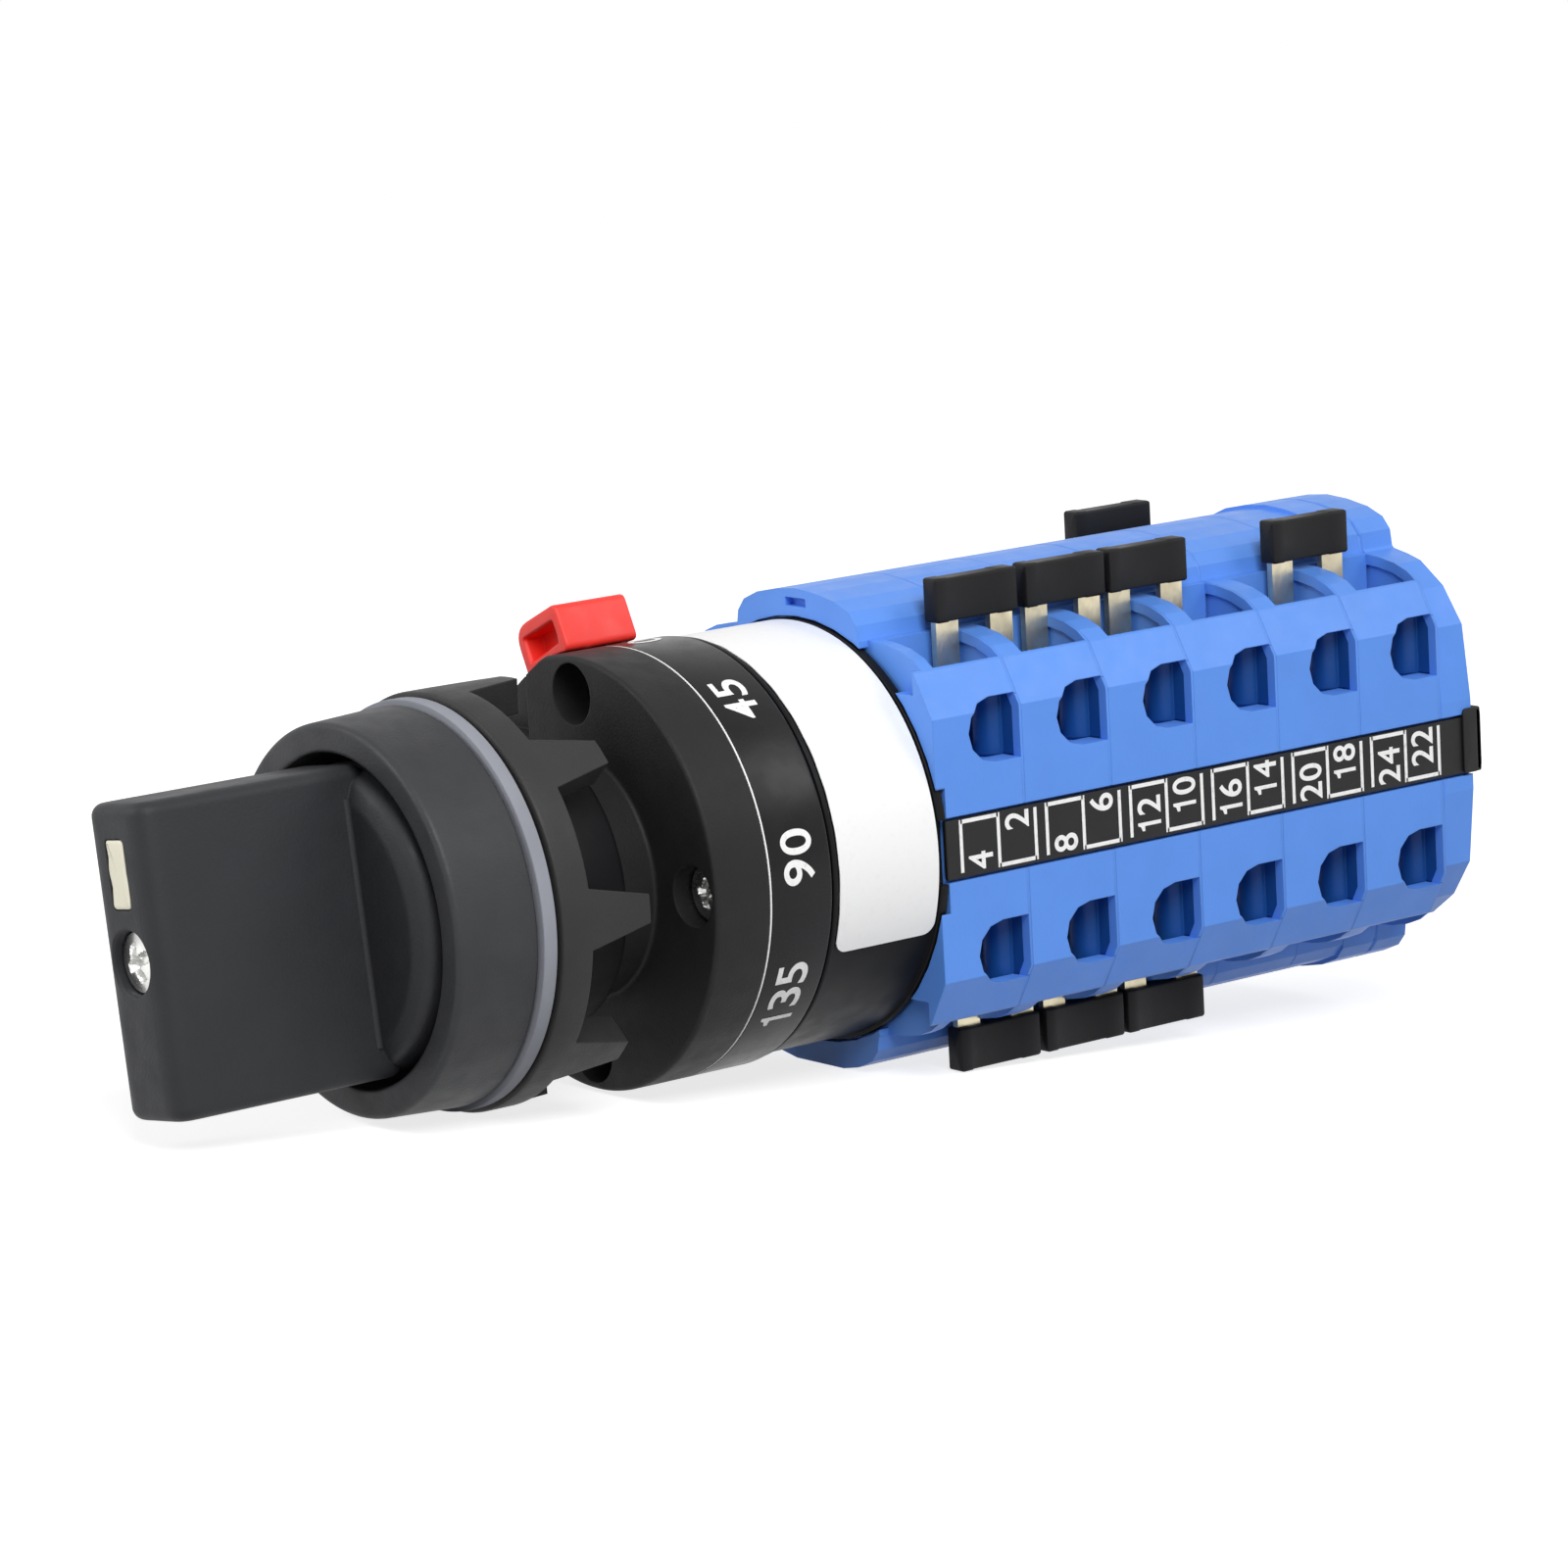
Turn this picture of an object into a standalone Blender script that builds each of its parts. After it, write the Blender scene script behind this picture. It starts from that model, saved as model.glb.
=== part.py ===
"""Cam switch for a panel: a six-stage rotary switch with a blade handle.

The pieces are drawn in one working frame: X to the right and Y up as seen
from the handle, Z along the switch axis towards the user. Depths are counted
from the panel seat, positive behind the panel. One empty turns the working
frame upright, so the switch axis lies along world Y with the handle at -Y.
All sizes are in millimetres.
"""

import math

import bmesh
import bpy
from mathutils import Matrix

MM = 0.001

# Clearances
GAP = 0.3
INSERT_GAP = 0.15

# The dial zero and the handle sit this far anticlockwise of the contact decks
FRONT_TURN_DEG = -7.0

# Number of flats that stand for each round shape
DRUM_FLAT_COUNT = 44
SMALL_FLAT_COUNT = 12
BORE_FLAT_COUNT = 20

# Handle
HANDLE_FRONT = -35.8
BLADE_THICKNESS = 10.3
BLADE_HEIGHT = 31.2
BLADE_ROUND = 1.3
BASE_DISC_FRONT = -12.0
BASE_DISC_REAR = -2.6
BASE_DISC_RADIUS = 15.6
BASE_DISC_ROUND = 2.0
HANDLE_COUNTERBORE_RADIUS = 3.2
HANDLE_COUNTERBORE_DEPTH = 2.4
HANDLE_SCREW_HOLE_RADIUS = 2.3
POINTER_WIDTH = 3.1
POINTER_LENGTH = 6.4
POINTER_HEIGHT = 8.8
POINTER_DEPTH = 1.0

# Handle screw
SCREW_HEAD_RADIUS = 2.85
SCREW_HEAD_HEIGHT = 1.5
HANDLE_SCREW_RADIUS = 1.7
HANDLE_SCREW_LENGTH = 24.0
HANDLE_SCREW_TURN_DEG = 20.0
CROSS_SLOT_WIDTH = 0.7
CROSS_SLOT_LENGTH = 3.2
CROSS_SLOT_DEPTH = 0.9

# Shaft
SHAFT_SIDE = 6.0
SHAFT_FRONT = -18.0
SHAFT_REAR = 121.5
SHAFT_TAPPING_RADIUS = 2.0
SHAFT_TAPPING_DEPTH = 10.0
SHAFT_EDGE = 0.4
SHAFT_BORE_RADIUS = 4.9

# Bezel with the threaded neck
BEZEL_FRONT = -11.1
BEZEL_EDGE = 1.2
BEZEL_REAR = -1.9
BEZEL_FRONT_RADIUS = 19.9
BEZEL_REAR_RADIUS = 20.4
BEZEL_MOUTH_RADIUS = 16.9
BEZEL_MOUTH_BREAK = 0.5
BEZEL_FLOOR = -2.2
NECK_RADIUS = 15.0
NECK_REAR = 13.0
NECK_BORE_RADIUS = 6.4
NECK_CHAMFER = 0.5

# Gasket and ring nut
GASKET_RADIUS = 20.9
GASKET_CHAMFER = 0.3
GASKET_THICKNESS = 1.6
NUT_RADIUS = 21.4
NUT_CHAMFER = 0.4
NUT_RING_REAR = 3.9
NUT_TOOTH_REAR = 11.0
NUT_TOOTH_INNER_RADIUS = 17.8
NUT_TEETH = 8
NUT_TOOTH_BASE = 6.2
NUT_TOOTH_TIP = 2.9
NUT_FIRST_TOOTH_DEG = -1.0

# Front adaptor
DRUM_RADIUS = 22.5
ADAPTOR_FRONT = 18.3
ADAPTOR_REAR = 25.0
ADAPTOR_HUB_RADIUS = 12.5
ADAPTOR_CHAMFER = 0.5
PLATE_SCREW_TURN_DEG = 25.0
PLATE_SCREW_TURN_STEP_DEG = 70.0
BOLT_CIRCLE_RADIUS = DRUM_RADIUS - 3.9
BOLT_HOLE_RADIUS = 3.2
BOLT_HOLE_DEPTH = 3.9
BOLT_SHANK_RADIUS = 1.4
BOLT_SHANK_HOLE_RADIUS = 1.7
BOLT_LENGTH = 12.5
NOTCH_RIGHT = -7.7
NOTCH_LEFT = -17.0
NOTCH_BOTTOM = DRUM_RADIUS - 8.8
NOTCH_DEPTH = 3.7

# Locking latch
LATCH_DEG = -24.5
LATCH_WIDTH = 8.2
LATCH_HEIGHT = 4.5
LATCH_FRONT = 22.2
LATCH_LENGTH = 9.0
LATCH_WALL = 0.8
LATCH_OPENING_HEIGHT = 2.5
LATCH_ROUND = 0.7
FOOT_LEFT = -3.2
FOOT_RIGHT = 0.8
FOOT_DEEP = 3.2
FOOT_REAR = 24.7

# Dial ring, mechanism housing and label
DIAL_REAR = 33.0
DIAL_WALL = 1.4
DIAL_INNER_RADIUS = DRUM_RADIUS - DIAL_WALL
HOUSING_STEP = 0.2
HOUSING_RADIUS = DRUM_RADIUS - HOUSING_STEP
HOUSING_REAR = 48.4
HOUSING_CAVITY_RADIUS = HOUSING_RADIUS - 6.1
HOUSING_WALL = 2.6
LABEL_FRONT = 34.2
LABEL_REAR = 47.0
LABEL_THICKNESS = 0.25
LABEL_SEAT_DEPTH = 0.4
LABEL_SEAT_MARGIN = 0.3
LABEL_GAP = 0.1
LABEL_FROM_DEG = -62.0
LABEL_TO_DEG = 112.0

# Detent
DETENT_RADIUS = 8.95
DETENT_RIPPLE = 0.35
DETENT_STATIONS = 8
DETENT_FRONT = 29.0
DETENT_THICKNESS = 8.0
PLUNGER_RADIUS = 2.6
PLUNGER_LENGTH = 2.8
PLUNGER_CONE_LENGTH = 1.6
PLUNGER_START = DETENT_RADIUS + DETENT_RIPPLE + GAP
SPRING_RADIUS = 1.9
SPRING_WIRE_RADIUS = 0.35
SPRING_TURNS = 2

# Contact decks
STAGES = 6
STAGE_PITCH = 11.82
FIRST_DECK_FRONT = 47.5
HALF_WIDTH = 21.65
FACET_START = 13.7
FACET_TOP = (HALF_WIDTH - 2.65, 18.3)
SHOULDER = ((HALF_WIDTH - 4.25, 19.4), (15.4, 20.15), (12.9, 20.6))
RIDGE_HALF_WIDTH = 10.2
RIDGE_TOP = 25.5
RIDGE_FOOT = 20.8
CROWN_RISE = 0.45
CROWN_START = 6.9
CAM_CAVITY_RADIUS = 9.8
DECK_FLOOR = 2.0
POCKET_INNER_X = 11.1
POCKET_OUTER_X = FACET_TOP[0] - 0.3
POCKET_FLOOR_Y = 8.0
POCKET_FRONT_WALL = 2.8
DRIVER_HOLE_HEIGHT = 6.7
DRIVER_HOLE_Y = 11.6
DRIVER_HOLE_FRONT = 4.7
DRIVER_HOLE_STEPS = 6
SEAT_NOTCH_BOTTOM = 16.0
STRIP_SLOT_HALF_HEIGHT = 3.4
STRIP_SLOT_DEPTH = 0.9
KEY_SLOT_WIDTH = 3.4
KEY_SLOT_HEIGHT = 0.9
KEY_SLOT_DEPTH = 1.0
KEY_SLOT_Y = 23.6

# Cams
CAM_RADIUS = 9.3
CAM_NOTCH_DEPTH = 1.6
CAM_NOTCH_HALF_DEG = 22.0
CAM_RAMP_DEG = 8.0
CAM_CLEAR_FRONT = 2.4
CAM_THICKNESS = 8.4
CAM_NOTCH_STARTS_DEG = (0.0, 45.0, 90.0, 135.0, 45.0, 0.0)

# Number strips
STRIP_THICKNESS = 0.55
STRIP_HALF_HEIGHT = 3.1
STRIP_FRONT = 48.7
STRIP_CAP_LENGTH = 0.6
STRIP_CAP_EXTRA = 1.0
STRIP_CAP_PROUD = 0.35
STRIP_CAP_LIP = 0.6
STRIP_SINK = 0.05

# Rear plate and tie bolts
REAR_PLATE_THICKNESS = 4.8
REAR_PLATE_BEVEL = 0.6
REAR_PLATE_SIDE = ((HALF_WIDTH, 5.0), (HALF_WIDTH - 0.95, 13.2), (HALF_WIDTH - 3.65, 17.2),
                   (14.6, 19.7), (12.6, 20.3))
TIE_BOLT_Y = 19.6
TIE_BOLT_RADIUS = 1.6
TIE_BOLT_HOLE_RADIUS = 2.0
TIE_HEAD_RADIUS = 2.9
TIE_HEAD_HEIGHT = 1.9
TIE_HEAD_RECESS = 2.4
TIE_SLOT_LENGTH = 4.4
TIE_SLOT_WIDTH = 0.8
TIE_SLOT_DEPTH = 0.8
TIE_THREAD_HOLE_DEPTH = 8.0

# Links between stages
SLEEVE_LENGTH = 10.9
SLEEVE_THICKNESS = 2.4
SLEEVE_BOTTOM = 21.8
SLEEVE_TOP = 26.5
SLEEVE_X = 12.4
SLEEVE_ROUND = 0.3
LINK_THICKNESS = 0.8
LINK_LEG_WIDTH = 3.0
LINK_LEG_OFFSET = 3.65
LINK_LEG_END = 12.0
LINK_BAR_BOTTOM = 23.2
LINK_BAR_TOP = 25.6
FAR_LINK_DEPTH = 101.3
FAR_LINK_LEG_OFFSET = 1.9
BOTTOM_LINK_SINK = 0.8
# Name, row (1 top, -1 bottom), stage before the joint, and distance of the link behind that joint
SIDE_LINKS = (
    ("link_top_1", 1, 1, 1.75), ("link_top_2", 1, 2, 2.0), ("link_top_3", 1, 3, 1.7),
    ("link_top_5", 1, 5, 1.4), ("link_bottom_1", -1, 1, 2.0), ("link_bottom_2", -1, 2, 1.9),
    ("link_bottom_3", -1, 3, 1.5),
)


def clear_scene():
    for old in list(bpy.data.objects):
        bpy.data.objects.remove(old, do_unlink=True)


def new_collection(name):
    made = bpy.data.collections.new(name)
    bpy.context.scene.collection.children.link(made)
    return made


clear_scene()
PARTS = new_collection("cam_switch")
CUTTERS = new_collection("cam_switch_cutters")
AXIS = bpy.data.objects.new("switch_axis", None)
AXIS.rotation_euler = (math.radians(90.0), 0.0, 0.0)
PARTS.objects.link(AXIS)
PALETTE = {}


def material(name, colour, roughness, metallic=0.0):
    made = bpy.data.materials.new(name)
    made.use_nodes = True
    shader = made.node_tree.nodes["Principled BSDF"]
    shader.inputs["Base Color"].default_value = (*colour, 1.0)
    shader.inputs["Roughness"].default_value = roughness
    shader.inputs["Metallic"].default_value = metallic
    made.diffuse_color = (*colour, 1.0)
    PALETTE[name] = made


material("handle_plastic", (0.033, 0.034, 0.038), 0.55)
material("body_plastic", (0.028, 0.029, 0.032), 0.48)
material("dial_plastic", (0.018, 0.018, 0.020), 0.35)
material("gasket_rubber", (0.22, 0.22, 0.27), 0.7)
material("cream_insert", (0.86, 0.80, 0.62), 0.5)
material("zinc_screw", (0.72, 0.72, 0.70), 0.3, 1.0)
material("red_plastic", (0.85, 0.02, 0.015), 0.35)
material("blue_plastic", (0.10, 0.29, 0.80), 0.42)
material("label_paper", (0.93, 0.93, 0.93), 0.45)
material("cam_plastic", (0.75, 0.70, 0.58), 0.5)
material("steel", (0.55, 0.55, 0.56), 0.35, 1.0)
material("brass", (0.78, 0.60, 0.30), 0.3, 1.0)
material("sleeve_plastic", (0.022, 0.022, 0.025), 0.4)
material("strip_plastic", (0.016, 0.016, 0.018), 0.45)


def adopt(obj, material_name):
    """Make obj a part: own material, part collection, round faces smooth."""
    obj.data.materials.clear()
    obj.data.materials.append(PALETTE[material_name])
    obj.parent = AXIS
    if obj.name not in PARTS.objects:
        PARTS.objects.link(obj)
    return obj


def as_cutter(obj):
    """Make obj a hidden guide that other shapes are cut with."""
    CUTTERS.objects.link(obj)
    obj.hide_render = True
    obj.display_type = "WIRE"
    return obj


def object_from(name, mesh):
    return bpy.data.objects.new(name, mesh)


def turned(name, profile, steps):
    """Solid turned about Z from (radius, depth) pairs.

    The profile runs front to rear down the outer side. It closes on itself
    when it has a bore, and stays open when both ends lie on the axis.
    """
    closed = profile[0][0] > 0.0
    points = [(radius * MM, 0.0, -depth * MM) for radius, depth in profile]
    edges = [(i, i + 1) for i in range(len(points) - 1)]
    if closed:
        edges.append((len(points) - 1, 0))
    mesh = bpy.data.meshes.new(name)
    mesh.from_pydata(points, edges, [])
    obj = object_from(name, mesh)
    screw = obj.modifiers.new("turn", "SCREW")
    screw.axis = "Z"
    screw.angle = math.tau
    screw.steps = steps
    screw.render_steps = steps
    screw.use_merge_vertices = True
    screw.merge_threshold = 0.000001
    screw.use_smooth_shade = False
    return obj


def plate(name, outlines, front, rear):
    """Flat outlines (the first is the edge, others are holes) as a plate."""
    curve = bpy.data.curves.new(name, "CURVE")
    curve.dimensions = "2D"
    curve.fill_mode = "BOTH"
    curve.extrude = (rear - front) / 2 * MM
    for outline in outlines:
        spline = curve.splines.new("POLY")
        spline.points.add(len(outline) - 1)
        for point, (x, y) in zip(spline.points, outline):
            point.co = (x * MM, y * MM, 0.0, 1.0)
        spline.use_cyclic_u = True
    guide = bpy.data.objects.new(name + "_curve", curve)
    mesh = solid_mesh(guide, name)
    mesh.transform(Matrix.Translation((0.0, 0.0, -(front + rear) / 2 * MM)))
    return object_from(name, mesh)


def solid_mesh(guide, name):
    """Mesh of a guide object with its modifiers, welded; the guide goes."""
    if not guide.users_collection:
        CUTTERS.objects.link(guide)
    bpy.context.view_layer.update()
    graph = bpy.context.evaluated_depsgraph_get()
    mesh = bpy.data.meshes.new_from_object(guide.evaluated_get(graph))
    mesh.name = name
    work = bmesh.new()
    work.from_mesh(mesh)
    bmesh.ops.remove_doubles(work, verts=work.verts, dist=0.000002)
    bmesh.ops.recalc_face_normals(work, faces=work.faces)
    work.to_mesh(mesh)
    work.free()
    bpy.data.objects.remove(guide, do_unlink=True)
    return mesh


def block(name, low, high):
    """Box between two corners given as (x, y, depth)."""
    size = [abs(b - a) * MM for a, b in zip(low, high)]
    middle = [(a + b) / 2 * MM for a, b in zip(low, high)]
    work = bmesh.new()
    bmesh.ops.create_cube(work, size=1.0)
    bmesh.ops.scale(work, vec=size, verts=work.verts)
    bmesh.ops.translate(work, vec=(middle[0], middle[1], -middle[2]), verts=work.verts)
    mesh = bpy.data.meshes.new(name)
    work.to_mesh(mesh)
    work.free()
    return object_from(name, mesh)


def rod(name, radius, front, rear, sides, x=0.0, y=0.0):
    """Round bar parallel to the switch axis."""
    work = bmesh.new()
    bmesh.ops.create_cone(work, cap_ends=True, segments=sides, radius1=radius * MM,
                          radius2=radius * MM, depth=(rear - front) * MM)
    bmesh.ops.translate(work, vec=(x * MM, y * MM, -(front + rear) / 2 * MM), verts=work.verts)
    mesh = bpy.data.meshes.new(name)
    work.to_mesh(mesh)
    work.free()
    return object_from(name, mesh)


def boolean(target, other, operation):
    step = target.modifiers.new(operation.lower(), "BOOLEAN")
    step.operation = operation
    step.solver = "EXACT"
    step.object = other


def cut(target, *cutters):
    for cutter in cutters:
        boolean(target, as_cutter(cutter), "DIFFERENCE")


def join(target, *pieces):
    for piece in pieces:
        boolean(target, as_cutter(piece), "UNION")


def bevelled(obj, width, segments, angle_deg=40.0):
    step = obj.modifiers.new("round", "BEVEL")
    step.width = width * MM
    step.segments = segments
    step.limit_method = "ANGLE"
    step.angle_limit = math.radians(angle_deg)
    return obj


def turn_clockwise(obj, degrees):
    """Turn about the switch axis, clockwise as seen from the handle."""
    obj.rotation_euler.z = -math.radians(degrees)
    return obj


def finish(obj, name, material_name, sharp_deg=35.0):
    """Bake the modifiers into one welded mesh and make it a part."""
    turn = obj.rotation_euler.z
    obj.rotation_euler.z = 0.0
    obj.name = name + "_shape"
    mesh = solid_mesh(obj, name)
    mesh.shade_smooth()
    mesh.set_sharp_from_angle(angle=math.radians(sharp_deg))
    part = object_from(name, mesh)
    part.rotation_euler.z = turn
    return adopt(part, material_name)


def arc_points(radius, start_deg, end_deg, count):
    """Points of an arc; angles are clockwise from the top."""
    points = []
    for i in range(count + 1):
        angle = math.radians(start_deg + (end_deg - start_deg) * i / count)
        points.append((radius * math.sin(angle), radius * math.cos(angle)))
    return points


def square(side):
    half = side / 2
    return [(-half, -half), (half, -half), (half, half), (-half, half)]


def make_handle():
    half_thickness = BLADE_THICKNESS / 2
    half_height = BLADE_HEIGHT / 2
    blade = block("blade", (-half_thickness, -half_height, HANDLE_FRONT),
                  (half_thickness, half_height, BASE_DISC_FRONT + 3.0))
    bevelled(blade, BLADE_ROUND, 3)
    blade_mesh = solid_mesh(blade, "blade")
    rim = BASE_DISC_ROUND
    disc = turned("handle_disc", [
        (0.0, BASE_DISC_FRONT),
        (BASE_DISC_RADIUS - rim, BASE_DISC_FRONT),
        (BASE_DISC_RADIUS - 0.45 * rim, BASE_DISC_FRONT + 0.2 * rim),
        (BASE_DISC_RADIUS - 0.1 * rim, BASE_DISC_FRONT + 0.6 * rim),
        (BASE_DISC_RADIUS, BASE_DISC_FRONT + 1.1 * rim),
        (BASE_DISC_RADIUS, BASE_DISC_REAR),
        (0.0, BASE_DISC_REAR),
    ], DRUM_FLAT_COUNT)
    join(disc, object_from("blade_guide", blade_mesh))
    socket = SHAFT_SIDE + 2 * GAP
    cut(disc,
        rod("head_recess", HANDLE_COUNTERBORE_RADIUS, HANDLE_FRONT - 1.0,
            HANDLE_FRONT + HANDLE_COUNTERBORE_DEPTH, BORE_FLAT_COUNT),
        rod("screw_passage", HANDLE_SCREW_HOLE_RADIUS, HANDLE_FRONT, BASE_DISC_REAR + 1.0, SMALL_FLAT_COUNT),
        block("shaft_socket", (-socket / 2, -socket / 2, SHAFT_FRONT - GAP),
              (socket / 2, socket / 2, BASE_DISC_REAR + 1.0)),
        pointer_shape("pointer_seat", INSERT_GAP, HANDLE_FRONT - 1.0))
    handle = finish(turn_clockwise(disc, FRONT_TURN_DEG), "handle", "handle_plastic")
    pointer = pointer_shape("pointer_shape", 0.0, HANDLE_FRONT)
    finish(turn_clockwise(pointer, FRONT_TURN_DEG), "handle_pointer", "cream_insert")
    return handle


def pointer_shape(name, margin, front):
    half_width = POINTER_WIDTH / 2 + margin
    half_length = POINTER_LENGTH / 2 + margin
    rear = HANDLE_FRONT + POINTER_DEPTH + margin
    return block(name, (-half_width, POINTER_HEIGHT - half_length, front),
                 (half_width, POINTER_HEIGHT + half_length, rear))


def make_screw(name, front, length, shank_radius, x=0.0, y=0.0, turn_deg=0.0):
    """Pan-head cross-slot screw with its head's top at the given depth."""
    head = SCREW_HEAD_HEIGHT
    screw = turned(name, [
        (0.0, front),
        (SCREW_HEAD_RADIUS * 0.6, front + 0.15 * head),
        (SCREW_HEAD_RADIUS * 0.93, front + 0.45 * head),
        (SCREW_HEAD_RADIUS, front + head),
        (shank_radius, front + head),
        (shank_radius, front + length),
        (0.0, front + length),
    ], SMALL_FLAT_COUNT)
    half_long = CROSS_SLOT_LENGTH / 2
    half_wide = CROSS_SLOT_WIDTH / 2
    floor = front + CROSS_SLOT_DEPTH
    cut(screw,
        block("slot_a", (-half_long, -half_wide, front - 1.0), (half_long, half_wide, floor)),
        block("slot_b", (-half_wide, -half_long, front - 1.0), (half_wide, half_long, floor)))
    part = finish(screw, name, "zinc_screw")
    part.rotation_euler.z = math.radians(turn_deg)
    part.location = (x * MM, y * MM, 0.0)
    return part


def make_bezel():
    edge = BEZEL_EDGE
    bezel = turned("bezel_profile", [
        (BEZEL_MOUTH_RADIUS + BEZEL_MOUTH_BREAK, BEZEL_FRONT),
        (BEZEL_FRONT_RADIUS - edge, BEZEL_FRONT),
        (BEZEL_FRONT_RADIUS - 0.35 * edge, BEZEL_FRONT + 0.25 * edge),
        (BEZEL_FRONT_RADIUS, BEZEL_FRONT + edge),
        (BEZEL_REAR_RADIUS, BEZEL_REAR),
        (NECK_RADIUS, BEZEL_REAR),
        (NECK_RADIUS, NECK_REAR - NECK_CHAMFER),
        (NECK_RADIUS - NECK_CHAMFER, NECK_REAR),
        (NECK_BORE_RADIUS, NECK_REAR),
        (NECK_BORE_RADIUS, BEZEL_FLOOR),
        (BEZEL_MOUTH_RADIUS, BEZEL_FLOOR),
        (BEZEL_MOUTH_RADIUS, BEZEL_FRONT + BEZEL_MOUTH_BREAK),
    ], DRUM_FLAT_COUNT)
    finish(bezel, "bezel", "body_plastic")
    gasket = turned("gasket_profile", [
        (NECK_RADIUS + GAP, -GASKET_THICKNESS),
        (GASKET_RADIUS - GASKET_CHAMFER, -GASKET_THICKNESS),
        (GASKET_RADIUS, -GASKET_THICKNESS + GASKET_CHAMFER),
        (GASKET_RADIUS, 0.0),
        (NECK_RADIUS + GAP, 0.0),
    ], DRUM_FLAT_COUNT)
    finish(gasket, "gasket", "gasket_rubber")


def make_ring_nut():
    nut = turned("nut_profile", [
        (NECK_RADIUS + GAP, GAP),
        (NUT_RADIUS - NUT_CHAMFER, GAP),
        (NUT_RADIUS, GAP + NUT_CHAMFER),
        (NUT_RADIUS, NUT_TOOTH_REAR),
        (NUT_TOOTH_INNER_RADIUS, NUT_TOOTH_REAR),
        (NUT_TOOTH_INNER_RADIUS, NUT_RING_REAR),
        (NECK_RADIUS + GAP, NUT_RING_REAR),
    ], DRUM_FLAT_COUNT)
    step_deg = 360.0 / NUT_TEETH
    chord = math.tau * NUT_RADIUS / NUT_TEETH
    base_half = (chord - NUT_TOOTH_BASE) / 2
    tip_half = (chord - NUT_TOOTH_TIP) / 2
    overshoot = 1.0
    slope = (tip_half - base_half) / (NUT_TOOTH_REAR - NUT_RING_REAR)
    wide_half = tip_half + slope * overshoot
    # the gap outline lies across the nut's rim, so the plate is stood up
    outline = [(-base_half, NUT_RING_REAR), (base_half, NUT_RING_REAR),
               (wide_half, NUT_TOOTH_REAR + overshoot), (-wide_half, NUT_TOOTH_REAR + overshoot)]
    for index in range(NUT_TEETH):
        angle = NUT_FIRST_TOOTH_DEG + step_deg * (index + 0.5)
        gap = plate("nut_gap", [outline], -NUT_RADIUS - 2.0, -NUT_TOOTH_INNER_RADIUS + 1.0)
        gap.data.transform(Matrix.Rotation(math.radians(-90.0), 4, "X"))
        gap.data.transform(Matrix.Rotation(-math.radians(angle), 4, "Z"))
        cut(nut, gap)
    finish(nut, "ring_nut", "body_plastic", 25.0)


def make_adaptor():
    adaptor = turned("adaptor_profile", [
        (SHAFT_BORE_RADIUS, NECK_REAR + GAP),
        (ADAPTOR_HUB_RADIUS, NECK_REAR + GAP),
        (ADAPTOR_HUB_RADIUS, ADAPTOR_FRONT),
        (DRUM_RADIUS - ADAPTOR_CHAMFER, ADAPTOR_FRONT),
        (DRUM_RADIUS, ADAPTOR_FRONT + ADAPTOR_CHAMFER),
        (DRUM_RADIUS, ADAPTOR_REAR),
        (SHAFT_BORE_RADIUS, ADAPTOR_REAR),
    ], DRUM_FLAT_COUNT)
    for index in range(4):
        x, y = bolt_place(index)
        cut(adaptor,
            rod("bolt_recess", BOLT_HOLE_RADIUS, ADAPTOR_FRONT - 1.0,
                ADAPTOR_FRONT + BOLT_HOLE_DEPTH, BORE_FLAT_COUNT, x, y),
            rod("bolt_passage", BOLT_SHANK_HOLE_RADIUS, ADAPTOR_FRONT, ADAPTOR_REAR + 1.0,
                12, x, y))
    notch = block("latch_notch", (NOTCH_LEFT, NOTCH_BOTTOM, ADAPTOR_FRONT - 1.0),
                  (NOTCH_RIGHT, DRUM_RADIUS + 2.0, ADAPTOR_FRONT + NOTCH_DEPTH))
    slot = block("foot_slot",
                 (FOOT_LEFT - GAP, DRUM_RADIUS - FOOT_DEEP - GAP, ADAPTOR_FRONT - 1.0),
                 (FOOT_RIGHT + GAP, DRUM_RADIUS + 2.0, ADAPTOR_REAR + 1.0))
    turn_clockwise(slot, LATCH_DEG)
    cut(adaptor, notch, slot)
    finish(adaptor, "front_adaptor", "body_plastic")
    for index in range(4):
        x, y = bolt_place(index)
        head_top = ADAPTOR_FRONT + BOLT_HOLE_DEPTH - SCREW_HEAD_HEIGHT - GAP
        make_screw("adaptor_screw_%d" % (index + 1), head_top, BOLT_LENGTH, BOLT_SHANK_RADIUS,
                   x, y, PLATE_SCREW_TURN_DEG + PLATE_SCREW_TURN_STEP_DEG * index)


def bolt_place(index):
    angle = math.radians(90.0 * index)
    return BOLT_CIRCLE_RADIUS * math.sin(angle), BOLT_CIRCLE_RADIUS * math.cos(angle)


def make_latch():
    half = LATCH_WIDTH / 2
    bottom = DRUM_RADIUS + GAP
    top = bottom + LATCH_HEIGHT
    rear = LATCH_FRONT + LATCH_LENGTH
    body = block("latch_body", (-half, bottom, LATCH_FRONT), (half, top, rear))
    bevelled(body, LATCH_ROUND, 2)
    shell = object_from("latch_shell", solid_mesh(body, "latch_shell"))
    join(shell, block("latch_foot", (FOOT_LEFT, DRUM_RADIUS - FOOT_DEEP, LATCH_FRONT + 0.3),
                      (FOOT_RIGHT, bottom + LATCH_WALL / 2, FOOT_REAR)))
    middle = (bottom + top) / 2
    cut(shell, block("latch_opening",
                     (-half + LATCH_WALL, middle - LATCH_OPENING_HEIGHT / 2, LATCH_FRONT - 1.0),
                     (half - LATCH_WALL, middle + LATCH_OPENING_HEIGHT / 2, rear - LATCH_WALL)))
    finish(turn_clockwise(shell, LATCH_DEG), "latch", "red_plastic")


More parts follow.
